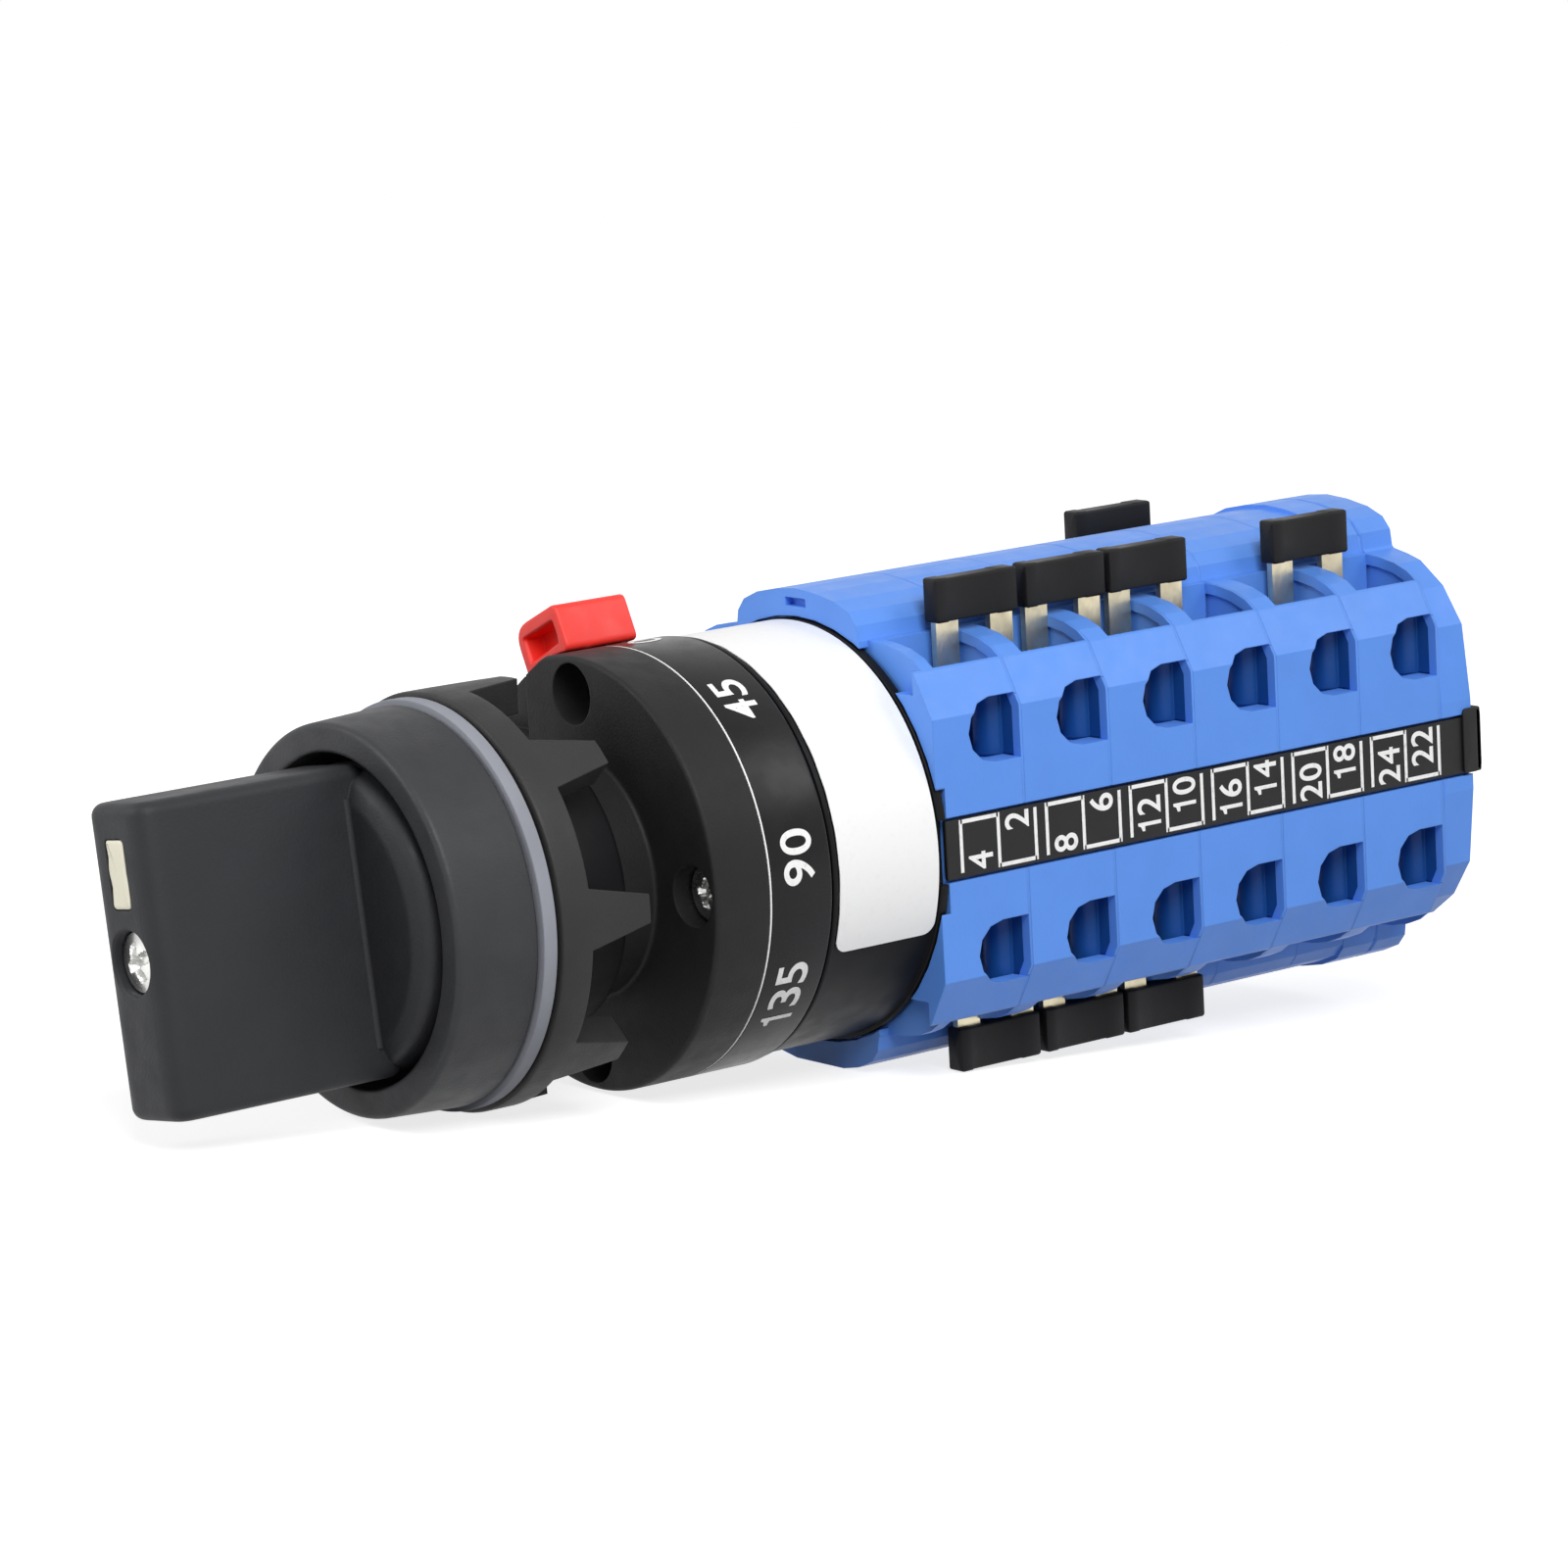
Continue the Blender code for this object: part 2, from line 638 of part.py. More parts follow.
def make_drum():
    dial = turned("dial_profile", [
        (DIAL_INNER_RADIUS, ADAPTOR_REAR + GAP),
        (DRUM_RADIUS, ADAPTOR_REAR + GAP),
        (DRUM_RADIUS, DIAL_REAR - 0.25),
        (DRUM_RADIUS - 0.25, DIAL_REAR),
        (DIAL_INNER_RADIUS, DIAL_REAR),
    ], DRUM_FLAT_COUNT)
    finish(dial, "dial_ring", "dial_plastic")
    seat_radius = HOUSING_RADIUS - LABEL_SEAT_DEPTH
    housing = turned("housing_profile", [
        (HOUSING_CAVITY_RADIUS, ADAPTOR_REAR + GAP),
        (DIAL_INNER_RADIUS - GAP, ADAPTOR_REAR + GAP),
        (DIAL_INNER_RADIUS - GAP, DIAL_REAR + GAP),
        (HOUSING_RADIUS, DIAL_REAR + GAP),
        (HOUSING_RADIUS, LABEL_FRONT - LABEL_SEAT_MARGIN),
        (seat_radius, LABEL_FRONT - LABEL_SEAT_MARGIN),
        (seat_radius, LABEL_REAR + LABEL_SEAT_MARGIN),
        (HOUSING_RADIUS, LABEL_REAR + LABEL_SEAT_MARGIN),
        (HOUSING_RADIUS, HOUSING_REAR),
        (SHAFT_BORE_RADIUS, HOUSING_REAR),
        (SHAFT_BORE_RADIUS, HOUSING_REAR - HOUSING_WALL),
        (HOUSING_CAVITY_RADIUS, HOUSING_REAR - HOUSING_WALL),
    ], DRUM_FLAT_COUNT)
    for index in range(4):
        x, y = bolt_place(index)
        cut(housing, rod("thread_hole", BOLT_SHANK_HOLE_RADIUS, ADAPTOR_REAR,
                         ADAPTOR_FRONT + BOLT_HOLE_DEPTH + BOLT_LENGTH, 12, x, y))
    for side in (1, -1):
        cut(housing, rod("tie_hole", TIE_BOLT_HOLE_RADIUS, HOUSING_REAR - TIE_THREAD_HOLE_DEPTH,
                         HOUSING_REAR + 1.0, 12, 0.0, side * TIE_BOLT_Y))
    finish(housing, "mechanism_housing", "dial_plastic")
    label_inner = seat_radius + LABEL_GAP
    outer = arc_points(label_inner + LABEL_THICKNESS, LABEL_FROM_DEG, LABEL_TO_DEG, 29)
    inner = arc_points(label_inner, LABEL_TO_DEG, LABEL_FROM_DEG, 29)
    label = plate("label_shape", [outer + inner], LABEL_FRONT, LABEL_REAR)
    finish(label, "label", "label_paper")


def lobed_outline(radius, ripple, lobes, count):
    points = []
    for i in range(count):
        angle = math.tau * i / count
        reach = radius + ripple * math.cos(lobes * angle)
        points.append((reach * math.sin(angle), reach * math.cos(angle)))
    return points


def make_detent():
    hole = square(SHAFT_SIDE + 2 * GAP)
    star = lobed_outline(DETENT_RADIUS, -DETENT_RIPPLE, DETENT_STATIONS, 48)
    wheel = plate("star", [star, hole], DETENT_FRONT, DETENT_FRONT + DETENT_THICKNESS)
    finish(wheel, "detent_wheel", "cam_plastic", 30.0)
    middle = DETENT_FRONT + DETENT_THICKNESS / 2
    for number, side in ((1, 1), (2, -1)):
        nose = PLUNGER_START
        plunger = turned("plunger_profile", [
            (0.0, -nose - PLUNGER_LENGTH),
            (PLUNGER_RADIUS, -nose - PLUNGER_LENGTH),
            (PLUNGER_RADIUS, -nose - PLUNGER_CONE_LENGTH),
            (PLUNGER_RADIUS * 0.7, -nose - 0.5),
            (0.0, -nose),
        ], SMALL_FLAT_COUNT)
        part = finish(plunger, "detent_plunger_%d" % number, "steel")
        part.rotation_euler = (0.0, side * math.radians(90.0), 0.0)
        part.location.z = -middle * MM
        make_spring(number, side, middle)


def make_spring(number, side, middle):
    start = PLUNGER_START + PLUNGER_LENGTH + GAP + SPRING_WIRE_RADIUS
    end = HOUSING_CAVITY_RADIUS - GAP - SPRING_WIRE_RADIUS - 0.3
    curve = bpy.data.curves.new("spring_path", "CURVE")
    curve.dimensions = "3D"
    curve.bevel_depth = SPRING_WIRE_RADIUS * MM
    curve.bevel_resolution = 0
    curve.use_fill_caps = True
    spline = curve.splines.new("POLY")
    count = SPRING_TURNS * 10
    spline.points.add(count)
    for i, point in enumerate(spline.points):
        angle = math.tau * SPRING_TURNS * i / count
        along = start + (end - start) * i / count
        point.co = (side * along * MM, SPRING_RADIUS * math.cos(angle) * MM,
                    SPRING_RADIUS * math.sin(angle) * MM - middle * MM, 1.0)
    guide = bpy.data.objects.new("spring_guide", curve)
    finish(guide, "detent_spring_%d" % number, "steel")


def make_shaft():
    half = SHAFT_SIDE / 2
    shaft = block("shaft_bar", (-half, -half, SHAFT_FRONT), (half, half, SHAFT_REAR))
    bevelled(shaft, SHAFT_EDGE, 1)
    cut(shaft, rod("tapping", SHAFT_TAPPING_RADIUS, SHAFT_FRONT - 1.0,
                   SHAFT_FRONT + SHAFT_TAPPING_DEPTH, 20))
    finish(shaft, "shaft", "steel")


def mirrored_outline(quarter):
    """Full outline from the points of its upper right quarter."""
    upper = quarter + [(-x, y) for x, y in reversed(quarter) if x > 0.0]
    return upper + [(-x, -y) for x, y in upper]


def deck_quarter():
    return [
        (HALF_WIDTH, FACET_START),
        FACET_TOP,
        *SHOULDER,
    ] + ridge_quarter(0.0)


def ridge_quarter(extra):
    """Right half of the rounded ridge, from its foot to its top."""
    return [
        (RIDGE_HALF_WIDTH, RIDGE_FOOT),
        (RIDGE_HALF_WIDTH - 0.3, RIDGE_TOP - 3.1 + extra),
        (RIDGE_HALF_WIDTH - 1.4, RIDGE_TOP - 1.8 + extra),
        (0.63 * RIDGE_HALF_WIDTH, RIDGE_TOP - 0.85 + extra),
        (0.31 * RIDGE_HALF_WIDTH, RIDGE_TOP - 0.25 + extra),
        (0.0, RIDGE_TOP + extra),
    ]


def driver_hole_outline():
    """Screwdriver hole: half round towards the handle, open to the rear, where the next deck closes it."""
    radius = DRIVER_HOLE_HEIGHT / 2
    centre = DRIVER_HOLE_FRONT + radius
    points = []
    for i in range(DRIVER_HOLE_STEPS + 1):
        angle = math.pi * (0.5 + i / DRIVER_HOLE_STEPS)
        points.append((centre + radius * math.cos(angle), radius * math.sin(angle)))
    points.append((STAGE_PITCH, -radius))
    points.append((STAGE_PITCH, radius))
    return points


def make_deck_mesh():
    length = STAGE_PITCH - GAP
    deck = plate("deck_body", [mirrored_outline(deck_quarter())], 0.0, length)
    cut(deck,
        rod("cam_cavity", CAM_CAVITY_RADIUS, DECK_FLOOR, length + 1.0, BORE_FLAT_COUNT),
        rod("shaft_passage", SHAFT_BORE_RADIUS, -1.0, length, SMALL_FLAT_COUNT))
    for up in (1, -1):
        cut(deck, tie_passage(up))
        for side in (1, -1):
            cut(deck, wire_pocket(up, side), driver_hole(up, side))
    for side in (1, -1):
        cut(deck, block("strip_slot",
                        (side * (HALF_WIDTH - STRIP_SLOT_DEPTH), -STRIP_SLOT_HALF_HEIGHT, -1.0),
                        (side * (HALF_WIDTH + 1.0), STRIP_SLOT_HALF_HEIGHT, length + 1.0)))
    cut(deck, block("key_slot", (-KEY_SLOT_WIDTH / 2, KEY_SLOT_Y, -1.0),
                    (KEY_SLOT_WIDTH / 2, KEY_SLOT_Y + KEY_SLOT_HEIGHT, KEY_SLOT_DEPTH)))
    return solid_mesh(deck, "deck")


def tie_passage(up):
    return rod("tie_passage", TIE_BOLT_HOLE_RADIUS, -1.0, STAGE_PITCH + 1.0, SMALL_FLAT_COUNT,
               0.0, up * TIE_BOLT_Y)


def wire_pocket(up, side):
    """Pocket open upwards and to the rear, where the next deck closes it."""
    return block("wire_pocket",
                 (side * POCKET_INNER_X, up * POCKET_FLOOR_Y, POCKET_FRONT_WALL),
                 (side * POCKET_OUTER_X, up * (RIDGE_TOP + 2.0), STAGE_PITCH))


def drum_seat():
    """Cutters for the round seat in the first deck that takes the end of the drum, and for the notches
    that leave only the ridge and the corners of the deck reaching round the drum."""
    depth = HOUSING_REAR + GAP - FIRST_DECK_FRONT
    seat = rod("drum_seat", HOUSING_RADIUS + GAP, -1.0, depth, DRUM_FLAT_COUNT)
    notches = [block("seat_notch",
                     (side * (RIDGE_HALF_WIDTH + 0.1), up * SEAT_NOTCH_BOTTOM, -1.0),
                     (side * POCKET_OUTER_X, up * (RIDGE_TOP + 2.0), depth))
               for side in (1, -1) for up in (1, -1)]
    return [seat, *notches]


def driver_hole(up, side):
    """D-shaped passage from the side face into the wire pocket."""
    start = POCKET_OUTER_X - 1.0
    hole = plate("driver_hole", [driver_hole_outline()], -HALF_WIDTH - 2.0, -start)
    hole.data.transform(Matrix.Rotation(math.radians(90.0), 4, "Y"))
    hole.data.transform(Matrix.Diagonal((side, up, 1.0, 1.0)))
    hole.data.transform(Matrix.Translation((0.0, up * DRIVER_HOLE_Y * MM, 0.0)))
    if side * up < 0:
        hole.data.flip_normals()
    return hole


def make_decks():
    pattern = make_deck_mesh()
    for index in range(STAGES):
        deck = object_from("deck_pattern", pattern.copy())
        if index == 0:
            cut(deck, *drum_seat())
        if index == STAGES - 1:
            join(deck, ridge_crown(1), ridge_crown(-1))
            cut(deck, tie_passage(1), tie_passage(-1))
        part = finish(deck, "contact_deck_%d" % (index + 1), "blue_plastic", 30.0)
        part.location.z = -deck_front(index) * MM
    bpy.data.meshes.remove(pattern)


def ridge_crown(up):
    """Raised end of the ridge, on the last deck only."""
    right = ridge_quarter(CROWN_RISE)
    left = [(-x, y) for x, y in reversed(right) if x > 0.0]
    outline = [(x, up * y) for x, y in right + left]
    return plate("ridge_crown", [outline], CROWN_START, STAGE_PITCH - GAP)


def deck_front(index):
    return FIRST_DECK_FRONT + index * STAGE_PITCH


def cam_outline(start_deg):
    """Round cam with two notches that let the contacts close."""
    points = []
    for i in range(45):
        degrees = 8.0 * i
        reach = CAM_RADIUS
        for middle in (start_deg, start_deg + 180.0):
            away = abs((degrees - middle + 180.0) % 360.0 - 180.0)
            if away < CAM_NOTCH_HALF_DEG:
                share = min(1.0, (CAM_NOTCH_HALF_DEG - away) / CAM_RAMP_DEG)
                reach = CAM_RADIUS - CAM_NOTCH_DEPTH * share
        angle = math.radians(degrees)
        points.append((reach * math.sin(angle), reach * math.cos(angle)))
    return points


def make_cams():
    hole = square(SHAFT_SIDE + 2 * GAP)
    for index, start_deg in enumerate(CAM_NOTCH_STARTS_DEG):
        front = deck_front(index) + CAM_CLEAR_FRONT
        cam = plate("cam_disc", [cam_outline(start_deg), hole], front, front + CAM_THICKNESS)
        finish(cam, "cam_%d" % (index + 1), "cam_plastic", 30.0)


def make_strip(name, side):
    inner = side * (HALF_WIDTH - STRIP_THICKNESS - STRIP_SINK)
    outer = side * (HALF_WIDTH - STRIP_SINK)
    rear = rear_plate_rear() + GAP
    strip = block(name, (inner, -STRIP_HALF_HEIGHT, STRIP_FRONT),
                  (outer, STRIP_HALF_HEIGHT, rear))
    cap_outer = side * (HALF_WIDTH + STRIP_CAP_PROUD)
    cap = block("strip_cap", (inner - side * STRIP_CAP_LIP, -STRIP_HALF_HEIGHT, rear),
                (cap_outer, STRIP_HALF_HEIGHT + STRIP_CAP_EXTRA, rear + STRIP_CAP_LENGTH))
    join(strip, cap)
    finish(strip, name, "strip_plastic")


def rear_plate_rear():
    return deck_front(STAGES) + REAR_PLATE_THICKNESS


def make_rear_plate():
    quarter = [*REAR_PLATE_SIDE, *ridge_quarter(CROWN_RISE)]
    front = deck_front(STAGES)
    rear = rear_plate_rear()
    base = plate("rear_plate_shape", [mirrored_outline(quarter)], front, rear)
    bevelled(base, REAR_PLATE_BEVEL, 1, 60.0)
    cut(base, rod("shaft_end", SHAFT_BORE_RADIUS, front - 1.0, SHAFT_REAR + GAP, SMALL_FLAT_COUNT))
    for up in (1, -1):
        cut(base,
            rod("tie_passage", TIE_BOLT_HOLE_RADIUS, front - 1.0, rear + 1.0, 12,
                0.0, up * TIE_BOLT_Y),
            rod("tie_recess", TIE_HEAD_RADIUS + GAP, rear - TIE_HEAD_RECESS, rear + 1.0, SMALL_FLAT_COUNT,
                0.0, up * TIE_BOLT_Y))
    for side in (1, -1):
        cut(base, block("strip_slot",
                        (side * (HALF_WIDTH - STRIP_SLOT_DEPTH), -STRIP_SLOT_HALF_HEIGHT, front - 1.0),
                        (side * (HALF_WIDTH + 1.0), STRIP_SLOT_HALF_HEIGHT, rear + 1.0)))
    finish(base, "rear_plate", "blue_plastic")


def make_tie_bolts():
    rear = rear_plate_rear()
    front = HOUSING_REAR - TIE_THREAD_HOLE_DEPTH + 1.0
    for number, up in ((1, 1), (2, -1)):
        seat = rear - TIE_HEAD_RECESS + GAP
        bolt = turned("tie_profile", [
            (0.0, front),
            (TIE_BOLT_RADIUS, front),
            (TIE_BOLT_RADIUS, seat),
            (TIE_HEAD_RADIUS, seat),
            (TIE_HEAD_RADIUS, seat + TIE_HEAD_HEIGHT),
            (0.0, seat + TIE_HEAD_HEIGHT),
        ], SMALL_FLAT_COUNT)
        top = seat + TIE_HEAD_HEIGHT
        slot = block("tie_slot", (-TIE_SLOT_LENGTH / 2, -TIE_SLOT_WIDTH / 2, top - TIE_SLOT_DEPTH),
                     (TIE_SLOT_LENGTH / 2, TIE_SLOT_WIDTH / 2, top + 1.0))
        cut(bolt, slot)
        part = finish(bolt, "tie_bolt_%d" % number, "zinc_screw")
        part.location.y = up * TIE_BOLT_Y * MM


def make_link(name, side, up, depth, leg_offset, sink=0.0):
    """Insulated two-legged link that joins the terminals of two pockets."""
    bottom = SLEEVE_BOTTOM - sink
    top = SLEEVE_TOP - sink
    bar_bottom = LINK_BAR_BOTTOM - sink
    bar_top = LINK_BAR_TOP - sink
    half_length = SLEEVE_LENGTH / 2
    half_thick = SLEEVE_THICKNESS / 2
    sleeve = block("sleeve_body", (side * (SLEEVE_X - half_thick), up * bottom, depth - half_length),
                   (side * (SLEEVE_X + half_thick), up * top, depth + half_length))
    bevelled(sleeve, SLEEVE_ROUND, 2)
    shell = object_from("sleeve_shell", solid_mesh(sleeve, "sleeve_shell"))
    slot_half = LINK_THICKNESS / 2 + GAP
    bar_half = leg_offset + LINK_LEG_WIDTH / 2
    cut(shell, block("sleeve_slot",
                     (side * (SLEEVE_X - slot_half), up * (bottom - 1.0), depth - bar_half - GAP),
                     (side * (SLEEVE_X + slot_half), up * (bar_top + GAP), depth + bar_half + GAP)))
    finish(shell, name + "_sleeve", "sleeve_plastic")
    legs = [
        (leg_offset + LINK_LEG_WIDTH / 2, LINK_LEG_END),
        (leg_offset + LINK_LEG_WIDTH / 2, bar_top),
        (-leg_offset - LINK_LEG_WIDTH / 2, bar_top),
        (-leg_offset - LINK_LEG_WIDTH / 2, LINK_LEG_END),
        (-leg_offset + LINK_LEG_WIDTH / 2, LINK_LEG_END),
        (-leg_offset + LINK_LEG_WIDTH / 2, bar_bottom),
        (leg_offset - LINK_LEG_WIDTH / 2, bar_bottom),
        (leg_offset - LINK_LEG_WIDTH / 2, LINK_LEG_END),
    ]
    half = LINK_THICKNESS / 2
    brass = plate("link_blank", [legs], -half, half)
    brass.data.transform(Matrix.Rotation(math.radians(90.0), 4, "Y"))
    brass.data.transform(Matrix.Diagonal((1.0, up, 1.0, 1.0)))
    if up < 0:
        brass.data.flip_normals()
    brass.data.transform(Matrix.Translation((side * SLEEVE_X * MM, 0.0, -depth * MM)))
    finish(brass, name + "_brass", "brass")


def seam_depth(number):
    return deck_front(number) - GAP / 2


def make_links():
    for name, up, stage, behind in SIDE_LINKS:
        sink = BOTTOM_LINK_SINK if up < 0 else 0.0
        make_link(name, 1, up, seam_depth(stage) + behind, LINK_LEG_OFFSET, sink)
    make_link("link_far", -1, 1, FAR_LINK_DEPTH, FAR_LINK_LEG_OFFSET)


make_handle()
make_screw("handle_screw", HANDLE_FRONT + HANDLE_COUNTERBORE_DEPTH - SCREW_HEAD_HEIGHT - GAP,
           HANDLE_SCREW_LENGTH, HANDLE_SCREW_RADIUS, 0.0, 0.0, HANDLE_SCREW_TURN_DEG)
make_bezel()
make_ring_nut()
make_adaptor()
make_latch()
make_drum()
make_detent()
make_shaft()
make_decks()
make_cams()
make_rear_plate()
make_tie_bolts()
make_strip("number_strip_near", 1)
make_strip("number_strip_far", -1)
make_links()
bpy.context.view_layer.update()
for cutter in list(CUTTERS.objects):
    bpy.data.objects.remove(cutter, do_unlink=True)
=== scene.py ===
"""Looks of a panel cam switch: six blue contact decks, a black drum with a dial, a ring nut and a handle.

The sections follow the switch as it is put together, from the decks forward to the handle. Sizes are in
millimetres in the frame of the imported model: X to the right of somebody at the handle, Y backwards from the
panel seat along the switch axis, Z up. Angles on round pieces run clockwise from the top, seen from the
handle.
"""

import bmesh
import bpy
import numpy as np
from mathutils import Matrix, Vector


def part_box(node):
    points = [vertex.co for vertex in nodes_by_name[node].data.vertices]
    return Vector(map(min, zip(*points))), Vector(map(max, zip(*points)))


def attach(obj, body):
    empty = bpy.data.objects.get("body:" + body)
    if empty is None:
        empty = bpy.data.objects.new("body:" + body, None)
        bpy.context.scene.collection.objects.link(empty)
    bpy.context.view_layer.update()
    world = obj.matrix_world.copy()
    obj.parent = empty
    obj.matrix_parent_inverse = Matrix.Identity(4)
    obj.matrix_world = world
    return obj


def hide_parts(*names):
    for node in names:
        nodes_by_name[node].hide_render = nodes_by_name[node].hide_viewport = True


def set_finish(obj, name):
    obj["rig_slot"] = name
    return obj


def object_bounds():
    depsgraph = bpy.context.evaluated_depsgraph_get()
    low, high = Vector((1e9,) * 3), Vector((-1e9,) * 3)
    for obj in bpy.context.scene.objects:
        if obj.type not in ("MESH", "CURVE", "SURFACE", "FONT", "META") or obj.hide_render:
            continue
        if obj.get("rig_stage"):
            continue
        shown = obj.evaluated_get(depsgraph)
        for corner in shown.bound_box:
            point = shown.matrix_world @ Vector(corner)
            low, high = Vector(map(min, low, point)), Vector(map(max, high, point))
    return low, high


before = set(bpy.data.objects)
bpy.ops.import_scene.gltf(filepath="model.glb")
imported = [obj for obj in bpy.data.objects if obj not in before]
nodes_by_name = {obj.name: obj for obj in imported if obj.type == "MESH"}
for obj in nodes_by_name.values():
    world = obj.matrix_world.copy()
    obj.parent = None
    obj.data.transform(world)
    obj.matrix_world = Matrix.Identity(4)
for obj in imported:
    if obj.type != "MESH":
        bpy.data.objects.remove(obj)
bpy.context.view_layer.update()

# Contact decks
# Six equal decks moulded in blue glass-filled plastic, stacked on the shaft like slices. The solids carry
# the pockets and the screwdriver holes; a narrow locating lip on each deck closes the joint to the next one.
DECKS = 6
DECK_PITCH = 11.82
DECK_JOINT = 0.3
FIRST_DECK = 47.5
HALF_WIDTH = 21.65
GROOVE_HALF, GROOVE_FLOOR = 3.4, 20.75
LIP_OUTSIDE, LIP_INSIDE = 0.02, 1.2
BLUE = (0.105, 0.290, 0.830)


def moulded(name, colour, roughness, grain=0.10, cloud=0.05, edge=0.25, cell=0.35, specular=0.5):
    """Moulded plastic. The colour drifts by the share cloud in patches some millimetres wide, the gloss
    drifts with finer patches, the bump is a fine grain of the given cell, and sharp edges shade as rounds of
    radius edge."""
    made = bpy.data.materials.new(name)
    made.use_nodes = True
    nodes, links = made.node_tree.nodes, made.node_tree.links
    shader = nodes["Principled BSDF"]
    shader.inputs["Specular IOR Level"].default_value = specular
    place = nodes.new("ShaderNodeTexCoord").outputs["Object"]
    drift = nodes.new("ShaderNodeTexNoise")
    drift.inputs["Scale"].default_value = 140.0
    drift.inputs["Detail"].default_value = 5.0
    links.new(place, drift.inputs["Vector"])
    tint = nodes.new("ShaderNodeValToRGB")
    low, high = tint.color_ramp.elements
    low.position, high.position = 0.3, 0.7
    low.color = (*[c * (1.0 - cloud) for c in colour], 1.0)
    high.color = (*[min(1.0, c * (1.0 + cloud)) for c in colour], 1.0)
    links.new(drift.outputs["Fac"], tint.inputs["Fac"])
    links.new(tint.outputs["Color"], shader.inputs["Base Color"])
    rub = nodes.new("ShaderNodeTexNoise")
    rub.inputs["Scale"].default_value = 420.0
    rub.inputs["Detail"].default_value = 6.0
    links.new(place, rub.inputs["Vector"])
    gloss = nodes.new("ShaderNodeMapRange")
    gloss.inputs["From Min"].default_value = 0.3
    gloss.inputs["From Max"].default_value = 0.7
    gloss.inputs["To Min"].default_value = roughness - 0.05
    gloss.inputs["To Max"].default_value = roughness + 0.07
    links.new(rub.outputs["Fac"], gloss.inputs["Value"])
    links.new(gloss.outputs["Result"], shader.inputs["Roughness"])
    fine = nodes.new("ShaderNodeTexNoise")
    fine.inputs["Scale"].default_value = 1000.0 / cell
    fine.inputs["Detail"].default_value = 2.0
    links.new(place, fine.inputs["Vector"])
    eased_edge = nodes.new("ShaderNodeBevel")
    eased_edge.samples = 4
    eased_edge.inputs["Radius"].default_value = edge * 0.001
    bump = nodes.new("ShaderNodeBump")
    bump.inputs["Strength"].default_value = grain
    bump.inputs["Distance"].default_value = 0.0001
    links.new(fine.outputs["Fac"], bump.inputs["Height"])
    links.new(eased_edge.outputs["Normal"], bump.inputs["Normal"])
    links.new(bump.outputs["Normal"], shader.inputs["Normal"])
    return made


def dress(node_name, finish):
    """Give a carried-over solid its finish."""
    solid = nodes_by_name[node_name]
    solid.data.materials.clear()
    solid.data.materials.append(finish)


def piece(name, grid, finish, body, slot, stands_for=(), close_rows=False, close_columns=True, smooth=32.0):
    """A piece over one grid of points, or over a list of grids: quad (i, j) joins rows i and i+1 and
    columns j and j+1. Points that fall together are merged, faces are turned outwards, and edges sharper
    than smooth degrees stay crisp."""
    grids = grid if isinstance(grid, list) else [grid]
    corners, quads, start = [], [], 0
    for sheet in grids:
        rows, columns = sheet.shape[:2]
        index = start + np.arange(rows * columns).reshape(rows, columns)
        index = np.vstack([index, index[:1]]) if close_rows else index
        index = np.hstack([index, index[:, :1]]) if close_columns else index
        round_quad = [index[:-1, :-1], index[1:, :-1], index[1:, 1:], index[:-1, 1:]]
        quads.append(np.stack(round_quad, -1).reshape(-1, 4))
        corners.append(sheet.reshape(-1, 3) * 0.001)
        start += rows * columns
    mesh = bpy.data.meshes.new(name)
    mesh.from_pydata(np.vstack(corners).tolist(), [], np.vstack(quads).tolist())
    merge(mesh)
    obj = bpy.data.objects.new(name, mesh)
    bpy.context.scene.collection.objects.link(obj)
    return belongs(obj, finish, body, slot, stands_for, smooth)


def merge(mesh):
    """Weld points closer than a thousandth of a millimetre, drop empty faces and turn the rest outwards."""
    work = bmesh.new()
    work.from_mesh(mesh)
    bmesh.ops.remove_doubles(work, verts=work.verts, dist=0.000001)
    bmesh.ops.dissolve_degenerate(work, edges=work.edges, dist=0.0000005)
    bmesh.ops.recalc_face_normals(work, faces=work.faces)
    work.to_mesh(mesh)
    work.free()


def belongs(obj, finish, body, slot, stands_for=(), smooth=32.0):
    """Finish, body, material slot and replaced solids of a piece."""
    obj.data.materials.clear()
    obj.data.materials.append(finish)
    obj.data.shade_smooth()
    obj.data.set_sharp_from_angle(angle=np.radians(smooth))
    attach(obj, body)
    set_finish(obj, slot)
    if stands_for:
        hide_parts(*stands_for)
    return obj


def inset(outline, amount):
    """The closed outline moved inwards: each corner goes along the sum of its two edges' inward normals,
    stretched so that both edges move by the amount."""
    edge = np.roll(outline, -1, 0) - outline
    edge = edge / np.maximum(np.linalg.norm(edge, axis=1, keepdims=True), 1e-9)
    normal = np.c_[-edge[:, 1], edge[:, 0]]
    area = np.sum(outline[:, 0] * np.roll(outline[:, 1], -1) - outline[:, 1] * np.roll(outline[:, 0], -1))
    normal = normal * np.sign(area)
    both = normal + np.roll(normal, 1, 0)
    share = 2.0 / np.maximum(np.sum(both * both, 1, keepdims=True), 0.5)
    return outline + both * share * amount


def prism(outline, rims, along="y", capped=True):
    """Grid of a bar: row k is the outline inset by rims[k, 0] at the place rims[k, 1] along the bar's axis.
    A cap is one more row at each end with all its points in the middle of the outline."""
    rows = [np.c_[inset(outline, amount), np.full(len(outline), at)] for amount, at in rims]
    if capped:
        middle = (outline.min(0) + outline.max(0)) / 2.0
        rows.insert(0, np.tile([*middle, rims[0][1]], (len(outline), 1)))
        rows.append(np.tile([*middle, rims[-1][1]], (len(outline), 1)))
    points = np.array(rows)
    order = {"y": [0, 2, 1], "x": [2, 0, 1], "z": [0, 1, 2]}[along]
    return points[:, :, order]


